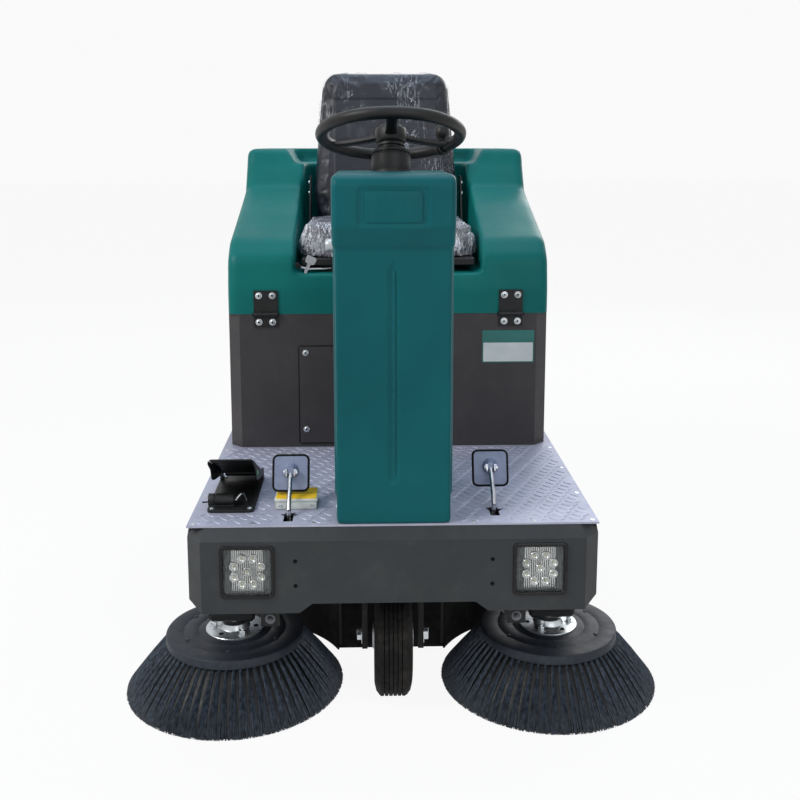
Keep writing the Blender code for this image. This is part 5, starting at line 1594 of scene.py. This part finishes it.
def broom():
    """A core tube with rows of nylon tufts wound round it in a gentle helix."""
    low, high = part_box("main_broom")
    centre = (low + high) / 2
    radius = (high.y - low.y) / 2
    half = (high.x - low.x) / 2
    rng = random.Random(BROOM_SEED)
    core = bmesh.new()
    tube = [(0, half), (0.0195, half), (0.0195, half - 0.012), (0.046, half - 0.014)]
    add_lathe(core, [(r, -z) for r, z in tube] + tube[::-1], None, 40)
    put(core, core.verts, shift(*centre) @ turn(90, "Y"))
    piece("broom_core", core, BLACK, "broom", ["main_broom"], smooth=40)
    bm = bmesh.new()
    reach = half - 0.016
    for row in range(BROOM_ROWS):
        for k in range(BROOM_BUNCHES):
            x = -reach + 2 * reach * k / (BROOM_BUNCHES - 1)
            base = 2 * math.pi * row / BROOM_ROWS + 1.3 * k / BROOM_BUNCHES
            for _ in range(5):
                a = base + rng.gauss(0, 0.02)
                swept = base + rng.uniform(-0.11, 0.11)
                x0 = x + rng.uniform(-0.003, 0.003)
                x1 = min(max(x + rng.uniform(-0.007, 0.007), -reach), reach)
                tip = radius - rng.uniform(0.0005, 0.006)
                p = Vector((x0, BROOM_CORE * math.cos(a), BROOM_CORE * math.sin(a)))
                q = Vector((x1, tip * math.cos(swept), tip * math.sin(swept)))
                out = (q - p).normalized()
                u = out.orthogonal().normalized() * TUFT_THICK
                w = out.cross(u.normalized()) * TUFT_THICK
                foot = [
                    bm.verts.new(point) for point in (p + u, p - u * 0.5 + w * 0.87, p - u * 0.5 - w * 0.87)
                ]
                end = [
                    bm.verts.new(point)
                    for point in (q + u * 0.7, q - u * 0.35 + w * 0.6, q - u * 0.35 - w * 0.6)
                ]
                loft(bm, [foot, end])
                bm.faces.new(foot[::-1])
                bm.faces.new(end)
    put(bm, bm.verts, shift(*centre))
    piece("broom_tufts", bm, BROOM_NYLON, "broom", smooth=0)


wheels()
broom()


# Controls ----------------------------------------------------------------------------------------

PEDAL_LEAN, PEDAL_AXIS = 20.0, 0.405
boot_draws = random.Random(BOOT_SEED)


def pedal(name, body, node, x, depth):
    """A rubber-lipped pad on a bright arm: pressed plate, spun boss, clevis and pivot sleeve."""
    pad = Vector((x, at(depth + 0.077), 0.509))
    tilt = shift(*pad) @ turn(-PEDAL_LEAN, "X")
    bm = bmesh.new()
    half = 0.04
    plate = oblong(-half + 0.003, half - 0.003, -half + 0.003, half - 0.003, 0.01)
    add_prism(bm, plate, -0.0028, -0.0006, "Y", bevel=0.0006, segments=1, place=tilt, mat=1)
    boss = [(0.0, -0.0002), (0.0175, -0.0002), (0.0165, 0.0022), (0.0115, 0.0052)]
    boss += [(0.0095, 0.01), (0.0085, 0.0125), (0, 0.0128)]
    add_lathe(bm, boss, tilt @ facing((0, -0.0024, 0.004), (0, -1, 0)), 32, mat=1)
    foot = Vector((x, at(depth + 0.001), DECK + 0.012))
    top = tilt @ Vector((0, -0.0125, -0.002))
    knee = Vector((x, at(depth + 0.014), DECK + 0.03))
    arm = [foot, foot + (knee - foot) * 0.5, knee, knee + (top - knee) * 0.35, knee + (top - knee) * 0.7, top]
    add_sweep(bm, arm, circle(0.0048, 16))
    clevis = shift(*top) @ turn(-PEDAL_LEAN, "X")
    for off in (-0.0085, 0.0085):
        ear = oblong(-0.007, 0.007, -0.008, 0.01, 0.005, 5)
        add_prism(bm, ear, off - 0.0016, off + 0.0016, "X", bevel=0.0005, segments=1, place=clevis)
    for s in (1, -1):
        add_hex_bolt(bm, top + Vector((s * 0.01, 0, 0.003)), (s, 0, 0), 0.0095, 0.005)
    shank = [Vector((x, at(depth + 0.0005), z)) for z in (0.4395 - 0.045, 0.4395 - 0.012)]
    add_sweep(bm, shank + [foot], circle(0.0046))
    sleeve = [
        (0, -0.0125), (0.0076, -0.0125), (0.008, -0.0115), (0.008, 0.0115), (0.0076, 0.0125), (0, 0.0125)
    ]
    add_lathe(bm, sleeve, shift(x, at(depth), PEDAL_AXIS) @ turn(90, "Y"), 28)
    piece(f"{name}_steelwork", bm, [STEEL, PAD_STEEL], body, [node], smooth=40)
    pad_bm = bmesh.new()
    outer = oblong(-half, half, -half, half, 0.012)
    add_prism(pad_bm, outer, -0.0004, 0.003, "Y", bevel=0.0012, place=tilt)
    edge = oblong(-half + 0.0022, half - 0.0022, -half + 0.0022, half - 0.0022, 0.011)
    lip = [Vector((px, -0.0012, pz)) for px, pz in edge]
    count = len(lip)
    rings = []
    made = []
    for i, point in enumerate(lip):
        along = (lip[(i + 1) % count] - lip[i - 1]).normalized()
        out = Vector((along.z, 0, -along.x))
        bead = [out * (0.0026 * math.cos(b)) + Vector((0, 0.003 * math.sin(b), 0)) for b in around(10)]
        rings.append([pad_bm.verts.new(point + offset) for offset in bead])
        made += rings[-1]
    loft(pad_bm, rings, closed=True)
    put(pad_bm, made, tilt)
    for k in range(6):
        z = -0.03 + k * 0.012
        rib = (z - 0.0026, z + 0.0026)
        add_box(pad_bm, (-0.034, 0.034), (0.0024, 0.0046), rib, place=tilt, bevel=0.001, segments=1)
    bmesh.ops.recalc_face_normals(pad_bm, faces=pad_bm.faces)
    piece(f"{name}_rubber", pad_bm, SOCKET, body, smooth=40)
    boot = bmesh.new()
    for k in range(9):
        a = 2 * math.pi * k / 9 + boot_draws.uniform(-0.2, 0.2)
        reach = boot_draws.uniform(0.012, 0.02)
        tip = (x + reach * math.cos(a), at(depth) + 0.006 + reach * 0.8 * math.sin(a))
        root_a, root_b = (
            (x + 0.0075 * math.cos(b), at(depth) + 0.004 + 0.0075 * math.sin(b)) for b in (a - 0.33, a + 0.33)
        )
        add_prism(boot, [root_a, tip, root_b], DECK + 0.0004, DECK + 0.0016, "Z")
    bmesh.ops.recalc_face_normals(boot, faces=boot.faces)
    piece(f"{name}_gaiter", boot, SOCKET, "chassis", smooth=30)


def accelerator():
    """The treadle pedal: a flanged black plate on its heel hinge, with the sensor barrel and link."""
    low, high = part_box("accelerator_treadle")
    base_low, base_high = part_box("accelerator_base")
    heel = Vector((0, at(0.305), 0.46))
    toe = Vector((0, at(0.115), 0.55))
    run = (toe - heel).normalized()
    up = Vector((0, -run.z, run.y)) if run.y > 0 else Vector((0, run.z, -run.y))
    place = Matrix(((1, 0, 0, 0), (0, run.y, up.y, heel.y), (0, run.z, up.z, heel.z), (0, 0, 0, 1)))
    length = (toe - heel).length
    x0, x1 = low.x + 0.0006, high.x - 0.0006
    bm = bmesh.new()
    tread = [(x0, -0.004), (x1, -0.004), (x1 - 0.004, length - 0.002), (x0 + 0.004, length - 0.002)]
    tread = rounded_outline(tread, 0.008, 5)
    add_prism(bm, tread, -0.0008, 0.0022, "Z", bevel=0.0008, segments=2, place=place)
    for k in range(13):
        v = 0.02 + k * 0.0132
        rib = (v - 0.0028, v + 0.0028)
        add_box(
            bm, (x0 + 0.008, x1 - 0.008), rib, (0.0018, 0.0038), place=place, bevel=0.0008, segments=1, mat=1
        )
    wall = [(0.004, 0.0), (length - 0.01, 0.0), (length - 0.01, -0.008), (length - 0.05, -0.014)]
    wall += [(length - 0.075, -0.032), (length - 0.105, -0.029), (0.03, -0.012)]
    wall = rounded_outline(wall, 0.006, 4)
    for x in (x0 + 0.0016, x1 - 0.0016):
        add_prism(bm, wall, x - 0.0014, x + 0.0014, "X", bevel=0.0005, segments=1, place=place)
    axle = [(0, -0.038), (0.0072, -0.038), (0.0076, -0.037), (0.0076, 0.037), (0.0072, 0.038), (0, 0.038)]
    add_lathe(bm, axle, shift(0.5 * (x0 + x1), heel.y, heel.z) @ turn(90, "Y"), 28)
    button = [(0, 0), (0.0058, 0), (0.0056, 0.0007), (0, 0.0009)]
    for s, x in ((1, x1 - 0.0002), (-1, x0 + 0.0002)):
        add_lathe(bm, button, facing(place @ Vector((x, length - 0.085, -0.016)), (s, 0, 0)), 24, mat=2)
    piece(
        "treadle_plate", bm, [BLACK_METAL, SOCKET, GREEN], "accelerator",
        ["accelerator_treadle"], smooth=40
    )

    base = bmesh.new()
    bx0, bx1, z0 = base_low.x, base_high.x, base_low.z
    foot = oblong(bx0, bx1, base_low.y, base_high.y, 0.012, 5)
    add_prism(base, foot, z0, z0 + 0.0058, "Z", bevel=0.0012)
    for x, y in product((bx0 + 0.01, bx1 - 0.01), (base_low.y + 0.012, base_high.y - 0.012)):
        add_dome_bolt(base, (x, y, z0 + 0.0058), (0, 0, 1), 0.0048, 0.003, mat=1, socket=2)
    barrel = [(0, 0.0), (0.0132, 0.0), (0.0138, 0.0012), (0.0138, 0.012), (0.0126, 0.013), (0.0126, 0.015)]
    barrel += [
        (0.0138, 0.016), (0.0138, 0.052), (0.0128, 0.0535), (0.0088, 0.054), (0.008, 0.056), (0.0, 0.0562)
    ]
    add_lathe(base, barrel, shift(bx0 + 0.001, at(0.125), z0 + 0.019) @ turn(90, "Y"), 32)
    add_box(base, (bx0 + 0.001, bx0 + 0.056), (at(0.114), at(0.136)), (z0 + 0.004, z0 + 0.012), bevel=0.0016)
    clip = [(0.058, 0.125, 0.018), (0.068, 0.13, 0.03), (0.074, 0.142, 0.026), (0.079, 0.15, 0.0075)]
    clip = [Vector((bx0 + x, at(depth), z0 + z)) for x, depth, z in clip]
    strip = [(-0.0035, -0.0007), (0.0035, -0.0007), (0.0035, 0.0007), (-0.0035, 0.0007)]
    add_sweep(base, clip, strip, mat=1, first=Vector((0, 1, 0)))
    cable = [Vector((bx0 - 0.012, at(0.118), z0 + 0.016)), Vector((bx0 + 0.004, at(0.119), z0 + 0.0165))]
    add_sweep(base, cable, circle(0.0016, 10), mat=2)
    ear = [
        (at(0.29), z0 + 0.004), (at(0.322), z0 + 0.004), (at(0.315), z0 + 0.0285), (at(0.297), z0 + 0.0285)
    ]
    for x in (bx0 + 0.0035, bx1 - 0.0035):
        add_prism(base, rounded_outline(ear, 0.006, 5), x - 0.0026, x + 0.0026, "X", bevel=0.0006, segments=1)
    piece(
        "treadle_base", base, [BLACK_METAL, ZINC, SOCKET], "chassis", ["accelerator_base"],
        smooth=40
    )


def key_and_dash():
    """The ignition barrel, a ribbed-bow key with its spare on a split ring, and the dash's switches."""
    sw_low, sw_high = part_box("key_switch")
    centre = (sw_low + sw_high) / 2
    bm = bmesh.new()
    face = sw_low.x
    lock = [(0, sw_high.x), (0.0138, sw_high.x), (0.0138, face + 0.006), (0.0124, face + 0.0035)]
    lock += [(0.01, face + 0.0012), (0.0062, face + 0.0002), (0.0058, face + 0.0016), (0, face + 0.0016)]
    add_lathe(bm, lock, shift(0, centre.y, centre.z) @ turn(90, "Y"), 40)
    piece("lock_barrel", bm, ZINC, "chassis", ["key_switch"], smooth=40)
    key = bmesh.new()
    y, z = centre.y, centre.z
    tip = face - 0.0004
    bow_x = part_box("ignition_key")[0].x + 0.001
    add_box(
        key, (tip - 0.01, tip), (y - 0.001, y + 0.001), (z - 0.0035, z + 0.0035), bevel=0.0004, segments=1
    )
    bow = [(bow_x, z - 0.0085), (tip - 0.008, z - 0.0062), (tip - 0.008, z + 0.0062), (bow_x, z + 0.0085)]
    bow = rounded_outline(bow, [0.005, 0.003, 0.003, 0.005], 5)
    add_prism(key, bow, y - 0.0016, y + 0.0016, "Y", bevel=0.0006)
    ring_centre = Vector((bow_x + 0.004, y, z - 0.0125))
    ring = [ring_centre + Vector((0, 0.0095 * math.cos(a), 0.0095 * math.sin(a))) for a in around(32)]
    add_sweep(key, ring, circle(0.0008, 8), closed=True)
    spare = shift(*(ring_centre + Vector((-0.0005, -0.002, -0.012)))) @ turn(16, "X") @ turn(24, "Y")
    head = rounded_outline([(-0.0105, -0.018), (0.0105, -0.018), (0.0115, 0.0), (-0.0115, 0.0)], 0.005, 5)
    add_prism(key, head, -0.0011, 0.0011, "Y", bevel=0.0004, segments=1, place=spare)
    blade = [(-0.0036, -0.018), (-0.0036, -0.038), (-0.002, -0.042), (0.002, -0.042), (0.0036, -0.039)]
    blade += [(0.0022, -0.036), (0.0036, -0.033), (0.0024, -0.03), (0.0036, -0.027), (0.0036, -0.018)]
    add_prism(key, blade, -0.0008, 0.0008, "Y", place=spare)
    piece("key_set", key, CAST, "key", ["ignition_key"], smooth=40)

    d_low, d_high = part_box("dash_panel")
    dash = bmesh.new()
    x0, x1, z0, z1 = d_low.x, d_high.x, d_low.z, d_high.z
    front = d_high.y
    add_prism(dash, oblong(x0, x1, z0, z1, 0.01), d_low.y, front - 0.0024, "Y", bevel=0.0015)
    screen = oblong(x0 + 0.012, x0 + 0.092, z0 + 0.052, z1 - 0.01, 0.005, 4)
    add_prism(dash, screen, front - 0.0026, front - 0.0012, "Y", bevel=0.0004, segments=1, mat=1)
    for row, k in product(range(2), range(4)):
        x = x0 + 0.024 + k * 0.0245
        z = z0 + 0.014 + row * 0.021
        cap = oblong(x - 0.0085, x + 0.0085, z - 0.0066, z + 0.0066, 0.0025, 4)
        cap_finish = {(0, 3): 2, (1, 0): 3}.get((row, k), 0)
        add_prism(dash, cap, front - 0.0028, front - 0.0006, "Y", bevel=0.001, mat=cap_finish)
    meter = [
        (0, -0.006), (0.0185, -0.006), (0.0185, -0.0016), (0.016, -0.0004), (0.009, -0.0008), (0.0, -0.0008)
    ]
    add_lathe(dash, meter, facing((x1 - 0.032, front, z1 - 0.03), (0, 1, 0)), 40, mat=2)
    piece(
        "dash_console", dash, [BLACK, SCREEN, RED, GREEN], "chassis", ["dash_panel"],
        smooth=40
    )


for name, body, node, (x, depth) in PEDALS:
    pedal(name, body, node, x, depth)
accelerator()
key_and_dash()


# Bodywork ----------------------------------------------------------------------------------------


def hinges():
    """The hinge leaves' button-head screws and the caps of their pins."""
    for word, _ in SIDES:
        upper_low, upper_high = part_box(f"hinge_upper_{word}")
        x = (upper_low.x + upper_high.x) / 2
        upper, lower = upper_high.z - 0.0125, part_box(f"hinge_lower_{word}")[0].z + 0.0125
        for part, body, z in (("upper", "cover", upper), ("lower", "chassis", lower)):
            bm = bmesh.new()
            for dx in (-0.017, 0.017):
                add_dome_bolt(bm, (x + dx, at(0.5657), z), (0, -1, 0), 0.0066, 0.004)
            if part == "lower":
                cap = [(0, 0), (0.0034, 0), (0.0036, 0.0008), (0.0026, 0.0018), (0, 0.002)]
                for s in (-1, 1):
                    add_lathe(bm, cap, facing((x + s * 0.0321, at(0.5637), 0.787), (s, 0, 0)), 20, mat=1)
            piece(f"hinge_{part}_screws_{word}", bm, [ZINC, SOCKET], body, smooth=40)


def front_panel():
    """The access door's screws, its gasket, and the blank two-tone plate."""
    low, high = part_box("access_panel")
    bm = bmesh.new()
    left, right, foot, head = low.x + 0.016, high.x - 0.016, low.z + 0.036, high.z - 0.016
    for x, z in ((left, head), (left, foot), (right, foot), (right, head)):
        add_dome_bolt(bm, (x, low.y, z), (0, -1, 0), 0.0062, 0.004)
    piece("access_screws", bm, [ZINC, SOCKET], "chassis", smooth=40)
    border = bmesh.new()
    inset = 0.0016
    path = oblong(low.x - inset, high.x + inset, low.z - inset, high.z + inset, 0.006, 4)
    points = [Vector((x, high.y - 0.0006, z)) for x, z in path]
    strip = [(0.0012, -0.001), (0.0012, 0.0006), (-0.0012, 0.0006), (-0.0012, -0.001)]
    add_sweep(border, points, strip, closed=True)
    piece("access_gasket", border, SOCKET, "chassis", smooth=40)
    plate = bmesh.new()
    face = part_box("body_front_panel")[0].y
    x0, x1, z0, z1 = 0.2385, 0.3715, 0.659, 0.743
    back = oblong(x0, x1, z0, z1, 0.003, 4)
    add_prism(plate, back, face - 0.001, face - 0.0002, "Y", bevel=0.0003, segments=1)
    band = oblong(x0 + 0.003, x1 - 0.003, z0 + 0.003, z0 + 0.052, 0.002, 3)
    add_prism(plate, band, face - 0.0014, face - 0.0006, "Y", bevel=0.0002, segments=1, mat=1)
    piece("blank_two_tone_plate", plate, [LABEL_DARK, LABEL_PALE], "chassis", smooth=40)


def side_panels():
    """Louvres, screws, quarter-turn locks and hems on each flank; the rear panel's louvres and screws."""
    for word, side in SIDES:
        low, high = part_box(f"body_side_{word}")
        face = high.x if side > 0 else low.x
        bm = bmesh.new()
        slat = [(0.0, -0.005), (side * 0.0045, -0.002), (side * 0.001, 0.005), (0.0, 0.005)]
        slat = rounded_outline(slat, 0.0008, 2)[::side]
        for k in range(9):
            outline = [(face - side * 0.0003 + u, 0.545 + k * 0.0175 + v) for u, v in slat]
            for d0 in (0.76, 1.06):
                add_prism(bm, outline, at(d0), at(d0 + 0.16), "Y")
        piece(f"louvres_{word}", bm, GREY, "chassis", smooth=40)
        fix = bmesh.new()
        for d, z in product((0.625, 0.99, 1.35), (0.462, 0.765)):
            add_dome_bolt(fix, (face, at(d), z), (side, 0, 0), 0.006, 0.0036)
        lock = [(0, 0), (0.0125, 0), (0.0125, 0.0014), (0.0105, 0.003)]
        lock += [(0.006, 0.0034), (0.0056, 0.0022), (0, 0.0022)]
        for d in (0.69, 1.29):
            place = facing((face, at(d), 0.735), (side, 0, 0))
            add_lathe(fix, lock, place, 32)
            add_box(fix, (-0.001, 0.001), (-0.0048, 0.0048), (0.0018, 0.0032), place=place, mat=1)
        piece(f"flank_screws_{word}", fix, [ZINC, SOCKET], "chassis", smooth=40)
        seam = bmesh.new()
        hem = (face - 0.0008, face + 0.0012) if side > 0 else (face - 0.0012, face + 0.0008)
        for d in (0.655, 1.322):
            add_box(seam, hem, (at(d), at(d + 0.0032)), (0.446, 0.781), bevel=0.0006, segments=1)
        for z in (0.4475, 0.779):
            add_box(seam, hem, (at(0.655), at(1.325)), (z, z + 0.0032), bevel=0.0006, segments=1)
        piece(f"flank_hem_{word}", seam, GREY, "chassis", smooth=40)
    low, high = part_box("body_rear_panel")
    face = high.y
    bm = bmesh.new()
    for k in range(8):
        z = 0.6 + k * 0.016
        slat = [(face - 0.0003, z - 0.0048), (face + 0.0045, z - 0.0024)]
        slat += [(face + 0.001, z + 0.0048), (face - 0.0003, z + 0.0048)]
        for x0 in (-0.25, 0.07):
            add_prism(bm, slat, x0, x0 + 0.18, "X")
    piece("rear_louvres", bm, GREY, "chassis", smooth=40)
    fix = bmesh.new()
    for x, z in product((-0.37, -0.125, 0.125, 0.37), (0.47, 0.762)):
        add_dome_bolt(fix, (x, face, z), (0, 1, 0), 0.006, 0.0036)
    piece("rear_screws", fix, [ZINC, SOCKET], "chassis", smooth=40)


def rear_fittings():
    """Tail reflectors, the bumper's bolts, the deck's edge seal, and the drawer's grip and latches."""
    low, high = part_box("rear_bumper")
    bm = bmesh.new()
    for side in (-1, 1):
        x = side * 0.345
        outline = oblong(x - 0.034, x + 0.034, 0.402, 0.427, 0.006, 4)
        add_prism(bm, outline, high.y - 0.0012, high.y + 0.0034, "Y", bevel=0.0014, segments=3)
        for k in range(7):
            u = x - 0.028 + k * 0.0093
            rib = (u - 0.0016, u + 0.0016)
            add_box(bm, rib, (high.y + 0.0026, high.y + 0.0044), (0.406, 0.423), bevel=0.0006, segments=1)
    piece("tail_reflectors", bm, RED, "chassis", smooth=40)
    studs = bmesh.new()
    for x in (-0.21, 0.21):
        add_hex_bolt(studs, (x, high.y, 0.4145), (0, 1, 0), 0.016, 0.008)
    piece("rear_bumper_bolts", studs, ZINC, "chassis", smooth=40)
    seal = bmesh.new()
    deck_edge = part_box("deck_plate")[1]
    lip = (deck_edge.y + 0.0002, deck_edge.y + 0.0065)
    add_box(seal, (low.x + 0.001, high.x - 0.001), lip, (high.z - 0.008, DECK + 0.0004), bevel=0.0008)
    piece("deck_edge_seal", seal, RUBBER, "chassis")
    wall = at(1.395)
    grip = bmesh.new()
    sleeve = [Vector((-0.07 + 0.14 * k / 24, at(1.432), 0.249)) for k in range(25)]
    add_sweep(grip, sleeve, lambda i: circle(0.0128 if i % 3 else 0.0117, 20))
    piece("drawer_grip", grip, GRIP, "hopper", smooth=30)
    face = bmesh.new()
    for x in (-0.205, 0.205):
        plate = oblong(x - 0.016, x + 0.016, 0.3, 0.362, 0.005, 4)
        add_prism(face, plate, wall - 0.0002, wall + 0.003, "Y", bevel=0.001)
        for z in (0.35, 0.312):
            add_dome_bolt(face, (x, wall + 0.003, z), (0, 1, 0), 0.0048, 0.0032)
        lever = [(0.0065, 0.331), (0.014, 0.326), (0.0165, 0.306), (0.013, 0.29)]
        lever = [Vector((x, wall + reach, z)) for reach, z in lever]
        strip = [(-0.0075, -0.0016), (0.0075, -0.0016), (0.0075, 0.0016), (-0.0075, 0.0016)]
        add_sweep(face, lever, strip, first=Vector((1, 0, 0)))
        boss = [(0, 0.0), (0.0068, 0.0), (0.0068, 0.0075), (0.005, 0.0085), (0, 0.0085)]
        add_lathe(face, boss, facing((x, wall + 0.0025, 0.331), (0, 1, 0)), 24)
    for z in (0.11, 0.17):
        add_box(
            face, (-0.215, 0.215), (wall - 0.0004, wall + 0.0038), (z - 0.004, z + 0.004), bevel=0.0018,
            segments=2, mat=2
        )
    piece("drawer_latches", face, [ZINC, SOCKET, BLACK_METAL], "hopper", smooth=40)


def under_deck():
    """The front skirt's clamping strip and its curved wings, and the fixings of the broom housing."""
    skirt_low, skirt_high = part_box("front_skirt")
    bm = bmesh.new()
    front = skirt_low.y
    strip = (skirt_low.x + 0.002, skirt_high.x - 0.002)
    add_box(bm, strip, (front - 0.0032, front - 0.0002), (0.226, 0.252), bevel=0.001, mat=1)
    for x in (-0.1, -0.034, 0.034, 0.1):
        add_hex_bolt(bm, (x, front - 0.003, 0.239), (0, -1, 0), 0.01, 0.0055)
    for x in (-0.122, 0.122):
        strip = (x - 0.004, x + 0.004)
        add_box(bm, strip, (front - 0.0022, front - 0.0002), (0.03, 0.222), bevel=0.0008, segments=1, mat=1)
    piece("skirt_clamp", bm, [ZINC, BLACK_METAL], "chassis", smooth=40)
    wings = bmesh.new()
    for _, side in SIDES:
        arc = [math.radians(25 + 52 * k / 16) for k in range(17)]
        near, far = (
            [
                (side * (0.356 - r * math.cos(a)), at(0.203 + r * math.sin(a))) for a in arc
            ] for r in (0.252, 0.256)
        )
        add_prism(wings, near + far[::-1], 0.015, 0.372, "Z", bevel=0.0008, segments=1)
    piece("skirt_wings", wings, RUBBER, "chassis", smooth=40)
    housing_low, housing_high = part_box("broom_housing")
    bolts = bmesh.new()
    for x, z in product((-0.265, -0.16, 0.16, 0.265), (0.15, 0.34)):
        add_hex_bolt(bolts, (x, housing_low.y, z), (0, -1, 0), 0.012, 0.0065)
    for side in (-1, 1):
        for depth in (0.65, 0.78, 0.91):
            add_hex_bolt(bolts, (side * housing_high.x, at(depth), 0.345), (side, 0, 0), 0.012, 0.0065)
        cap = [
            (0, 0), (0.03, 0), (0.031, 0.0016), (0.024, 0.004), (0.014, 0.0052), (0.013, 0.01), (0, 0.0104)
        ]
        add_lathe(bolts, cap, facing((side * housing_high.x, at(0.78), 0.138), (side, 0, 0)), 40)
    piece("housing_bolts", bolts, ZINC, "chassis", smooth=40)


hinges()
front_panel()
side_panels()
rear_fittings()
under_deck()


# Frame materials ---------------------------------------------------------------------------------

WORN_WIDTH, WORN_ANGLE = 0.001, 32.0
SHADED_HIDDEN_METAL = ("broom_housing", "steering_support", "steer_fork", "dust_hopper")
slot_of = {one["node"]: one["material_slot"] for one in frame["record"]["subparts"]}
for node, obj in frame["nodes"].items():
    finish = FINISH_OF_SLOT.get(slot_of.get(node, ""), BLACK_METAL)
    # parts under and inside the machine take the darker black, a painted shade
    if node in SHADED_HIDDEN_METAL:
        finish = UNDERSIDE_SHADE
    if len(obj.material_slots) == 0:
        obj.data.materials.append(finish)
    for slot_at in obj.material_slots:
        slot_at.material = finish
    worn = obj.modifiers.new("worn edges", "BEVEL")
    worn.width = WORN_WIDTH
    worn.segments = 2
    worn.limit_method = "ANGLE"
    worn.angle_limit = math.radians(WORN_ANGLE)
    worn.use_clamp_overlap = True


# Floor, light and camera -------------------------------------------------------------------------


def seen_directly(tree):
    """One where a ray comes from the camera, or from it by way of metal or glass."""
    path = tree.nodes.new("ShaderNodeLightPath")
    total = path.outputs["Is Camera Ray"]
    for kind in ("Is Glossy Ray", "Is Transmission Ray"):
        larger = tree.nodes.new("ShaderNodeMath")
        larger.operation = "MAXIMUM"
        tree.links.new(total, larger.inputs[0])
        tree.links.new(path.outputs[kind], larger.inputs[1])
        total = larger.outputs[0]
    return total


WHITE = (1, 1, 1, 1)


def lit(tree, kind, colour, strength):
    """A shader that gives off light of a colour."""
    node = tree.nodes.new(kind)
    node.inputs["Color"].default_value = colour
    node.inputs["Strength"].default_value = strength
    return node


def blended(tree, share, first, second, into):
    """Two shaders mixed by a share and led to the output."""
    blend = tree.nodes.new("ShaderNodeMixShader")
    tree.links.new(share, blend.inputs["Fac"])
    tree.links.new(first.outputs[0], blend.inputs[1])
    tree.links.new(second.outputs[0], blend.inputs[2])
    tree.links.new(blend.outputs[0], tree.nodes[into].inputs["Surface"])


FLOOR_GLOW, WORLD_LIGHT, WORLD_SEEN = 0.92, 0.29, 0.95
LIGHTS = (
    ("key", (-3.4, -2.2, 3.6), (0, -0.2, 0.6), 1.6, 130, (1.0, 0.985, 0.95)),
    ("front_fill", (1.6, -4.2, 2.4), (0, -0.2, 0.6), 3.0, 42, (0.95, 0.975, 1.0)),
    ("top", (0.2, 0.4, 4.4), (0, 0, 0.6), 3.0, 66, (0.58, 0.76, 1.0)),
    ("back", (2.2, 3.6, 2.8), (0, 0.2, 0.8), 2.4, 60, (1.0, 1.0, 1.0)),
)
CAMERA_SPOT = (-0.0473, -2.6824, 1.2117)
CAMERA_DOWN, CAMERA_RIGHT = 8.92, 1.71
FOCAL_LENGTH, SENSOR_WIDTH, LENS_SHIFT = 45.88, 36.0, -0.12


def studio():
    """A pale sweep under and behind the machine, a broad key from its right and soft fills."""
    mat = bpy.data.materials.new("pale_sweep")
    mat.use_nodes = True
    tree = mat.node_tree
    shader = tree.nodes["Principled BSDF"]
    shader.inputs["Base Color"].default_value = (0.8, 0.8, 0.8, 1)
    shader.inputs["Roughness"].default_value = 0.9
    shader.inputs["Specular IOR Level"].default_value = 0.1
    glow = lit(tree, "ShaderNodeEmission", WHITE, 1.0)
    share = tree.nodes.new("ShaderNodeMath")
    share.operation = "MULTIPLY"
    share.inputs[1].default_value = FLOOR_GLOW
    tree.links.new(seen_directly(tree), share.inputs[0])
    blended(tree, share.outputs[0], shader, glow, "Material Output")
    bm = bmesh.new()
    bmesh.ops.create_grid(bm, x_segments=1, y_segments=1, size=30)
    floor = in_scene("floor", bm)
    floor.location.z = -0.0005
    floor.data.materials.append(mat)

    world = bpy.data.worlds.new("studio")
    bpy.context.scene.world = world
    world.use_nodes = True
    tree = world.node_tree
    base = tree.nodes["Background"]
    base.inputs["Color"].default_value = (0.93, 0.96, 1.0, 1)
    base.inputs["Strength"].default_value = WORLD_LIGHT
    seen = lit(tree, "ShaderNodeBackground", WHITE, WORLD_SEEN)
    blended(tree, seen_directly(tree), base, seen, "World Output")

    for name, spot, target, size, power, tint in LIGHTS:
        lamp = bpy.data.lights.new(name, "AREA")
        lamp.shape = "SQUARE"
        lamp.size = size
        lamp.energy = power
        lamp.color = tint
        obj = bpy.data.objects.new(name, lamp)
        obj.location = spot
        obj.rotation_euler = (Vector(target) - Vector(spot)).to_track_quat("-Z", "Y").to_euler()
        bpy.context.scene.collection.objects.link(obj)


studio()

lens = bpy.data.cameras.new("view")
lens.sensor_width = SENSOR_WIDTH
lens.lens = FOCAL_LENGTH
lens.shift_y = LENS_SHIFT
lens.clip_start, lens.clip_end = 0.05, 100.0
camera = bpy.data.objects.new("view", lens)
camera.location = CAMERA_SPOT
camera.rotation_euler = (math.radians(90 - CAMERA_DOWN), 0.0, -math.radians(CAMERA_RIGHT))
bpy.context.scene.collection.objects.link(camera)
bpy.context.scene.camera = camera
bpy.context.scene.view_settings.view_transform = "Standard"

bpy.context.view_layer.update()
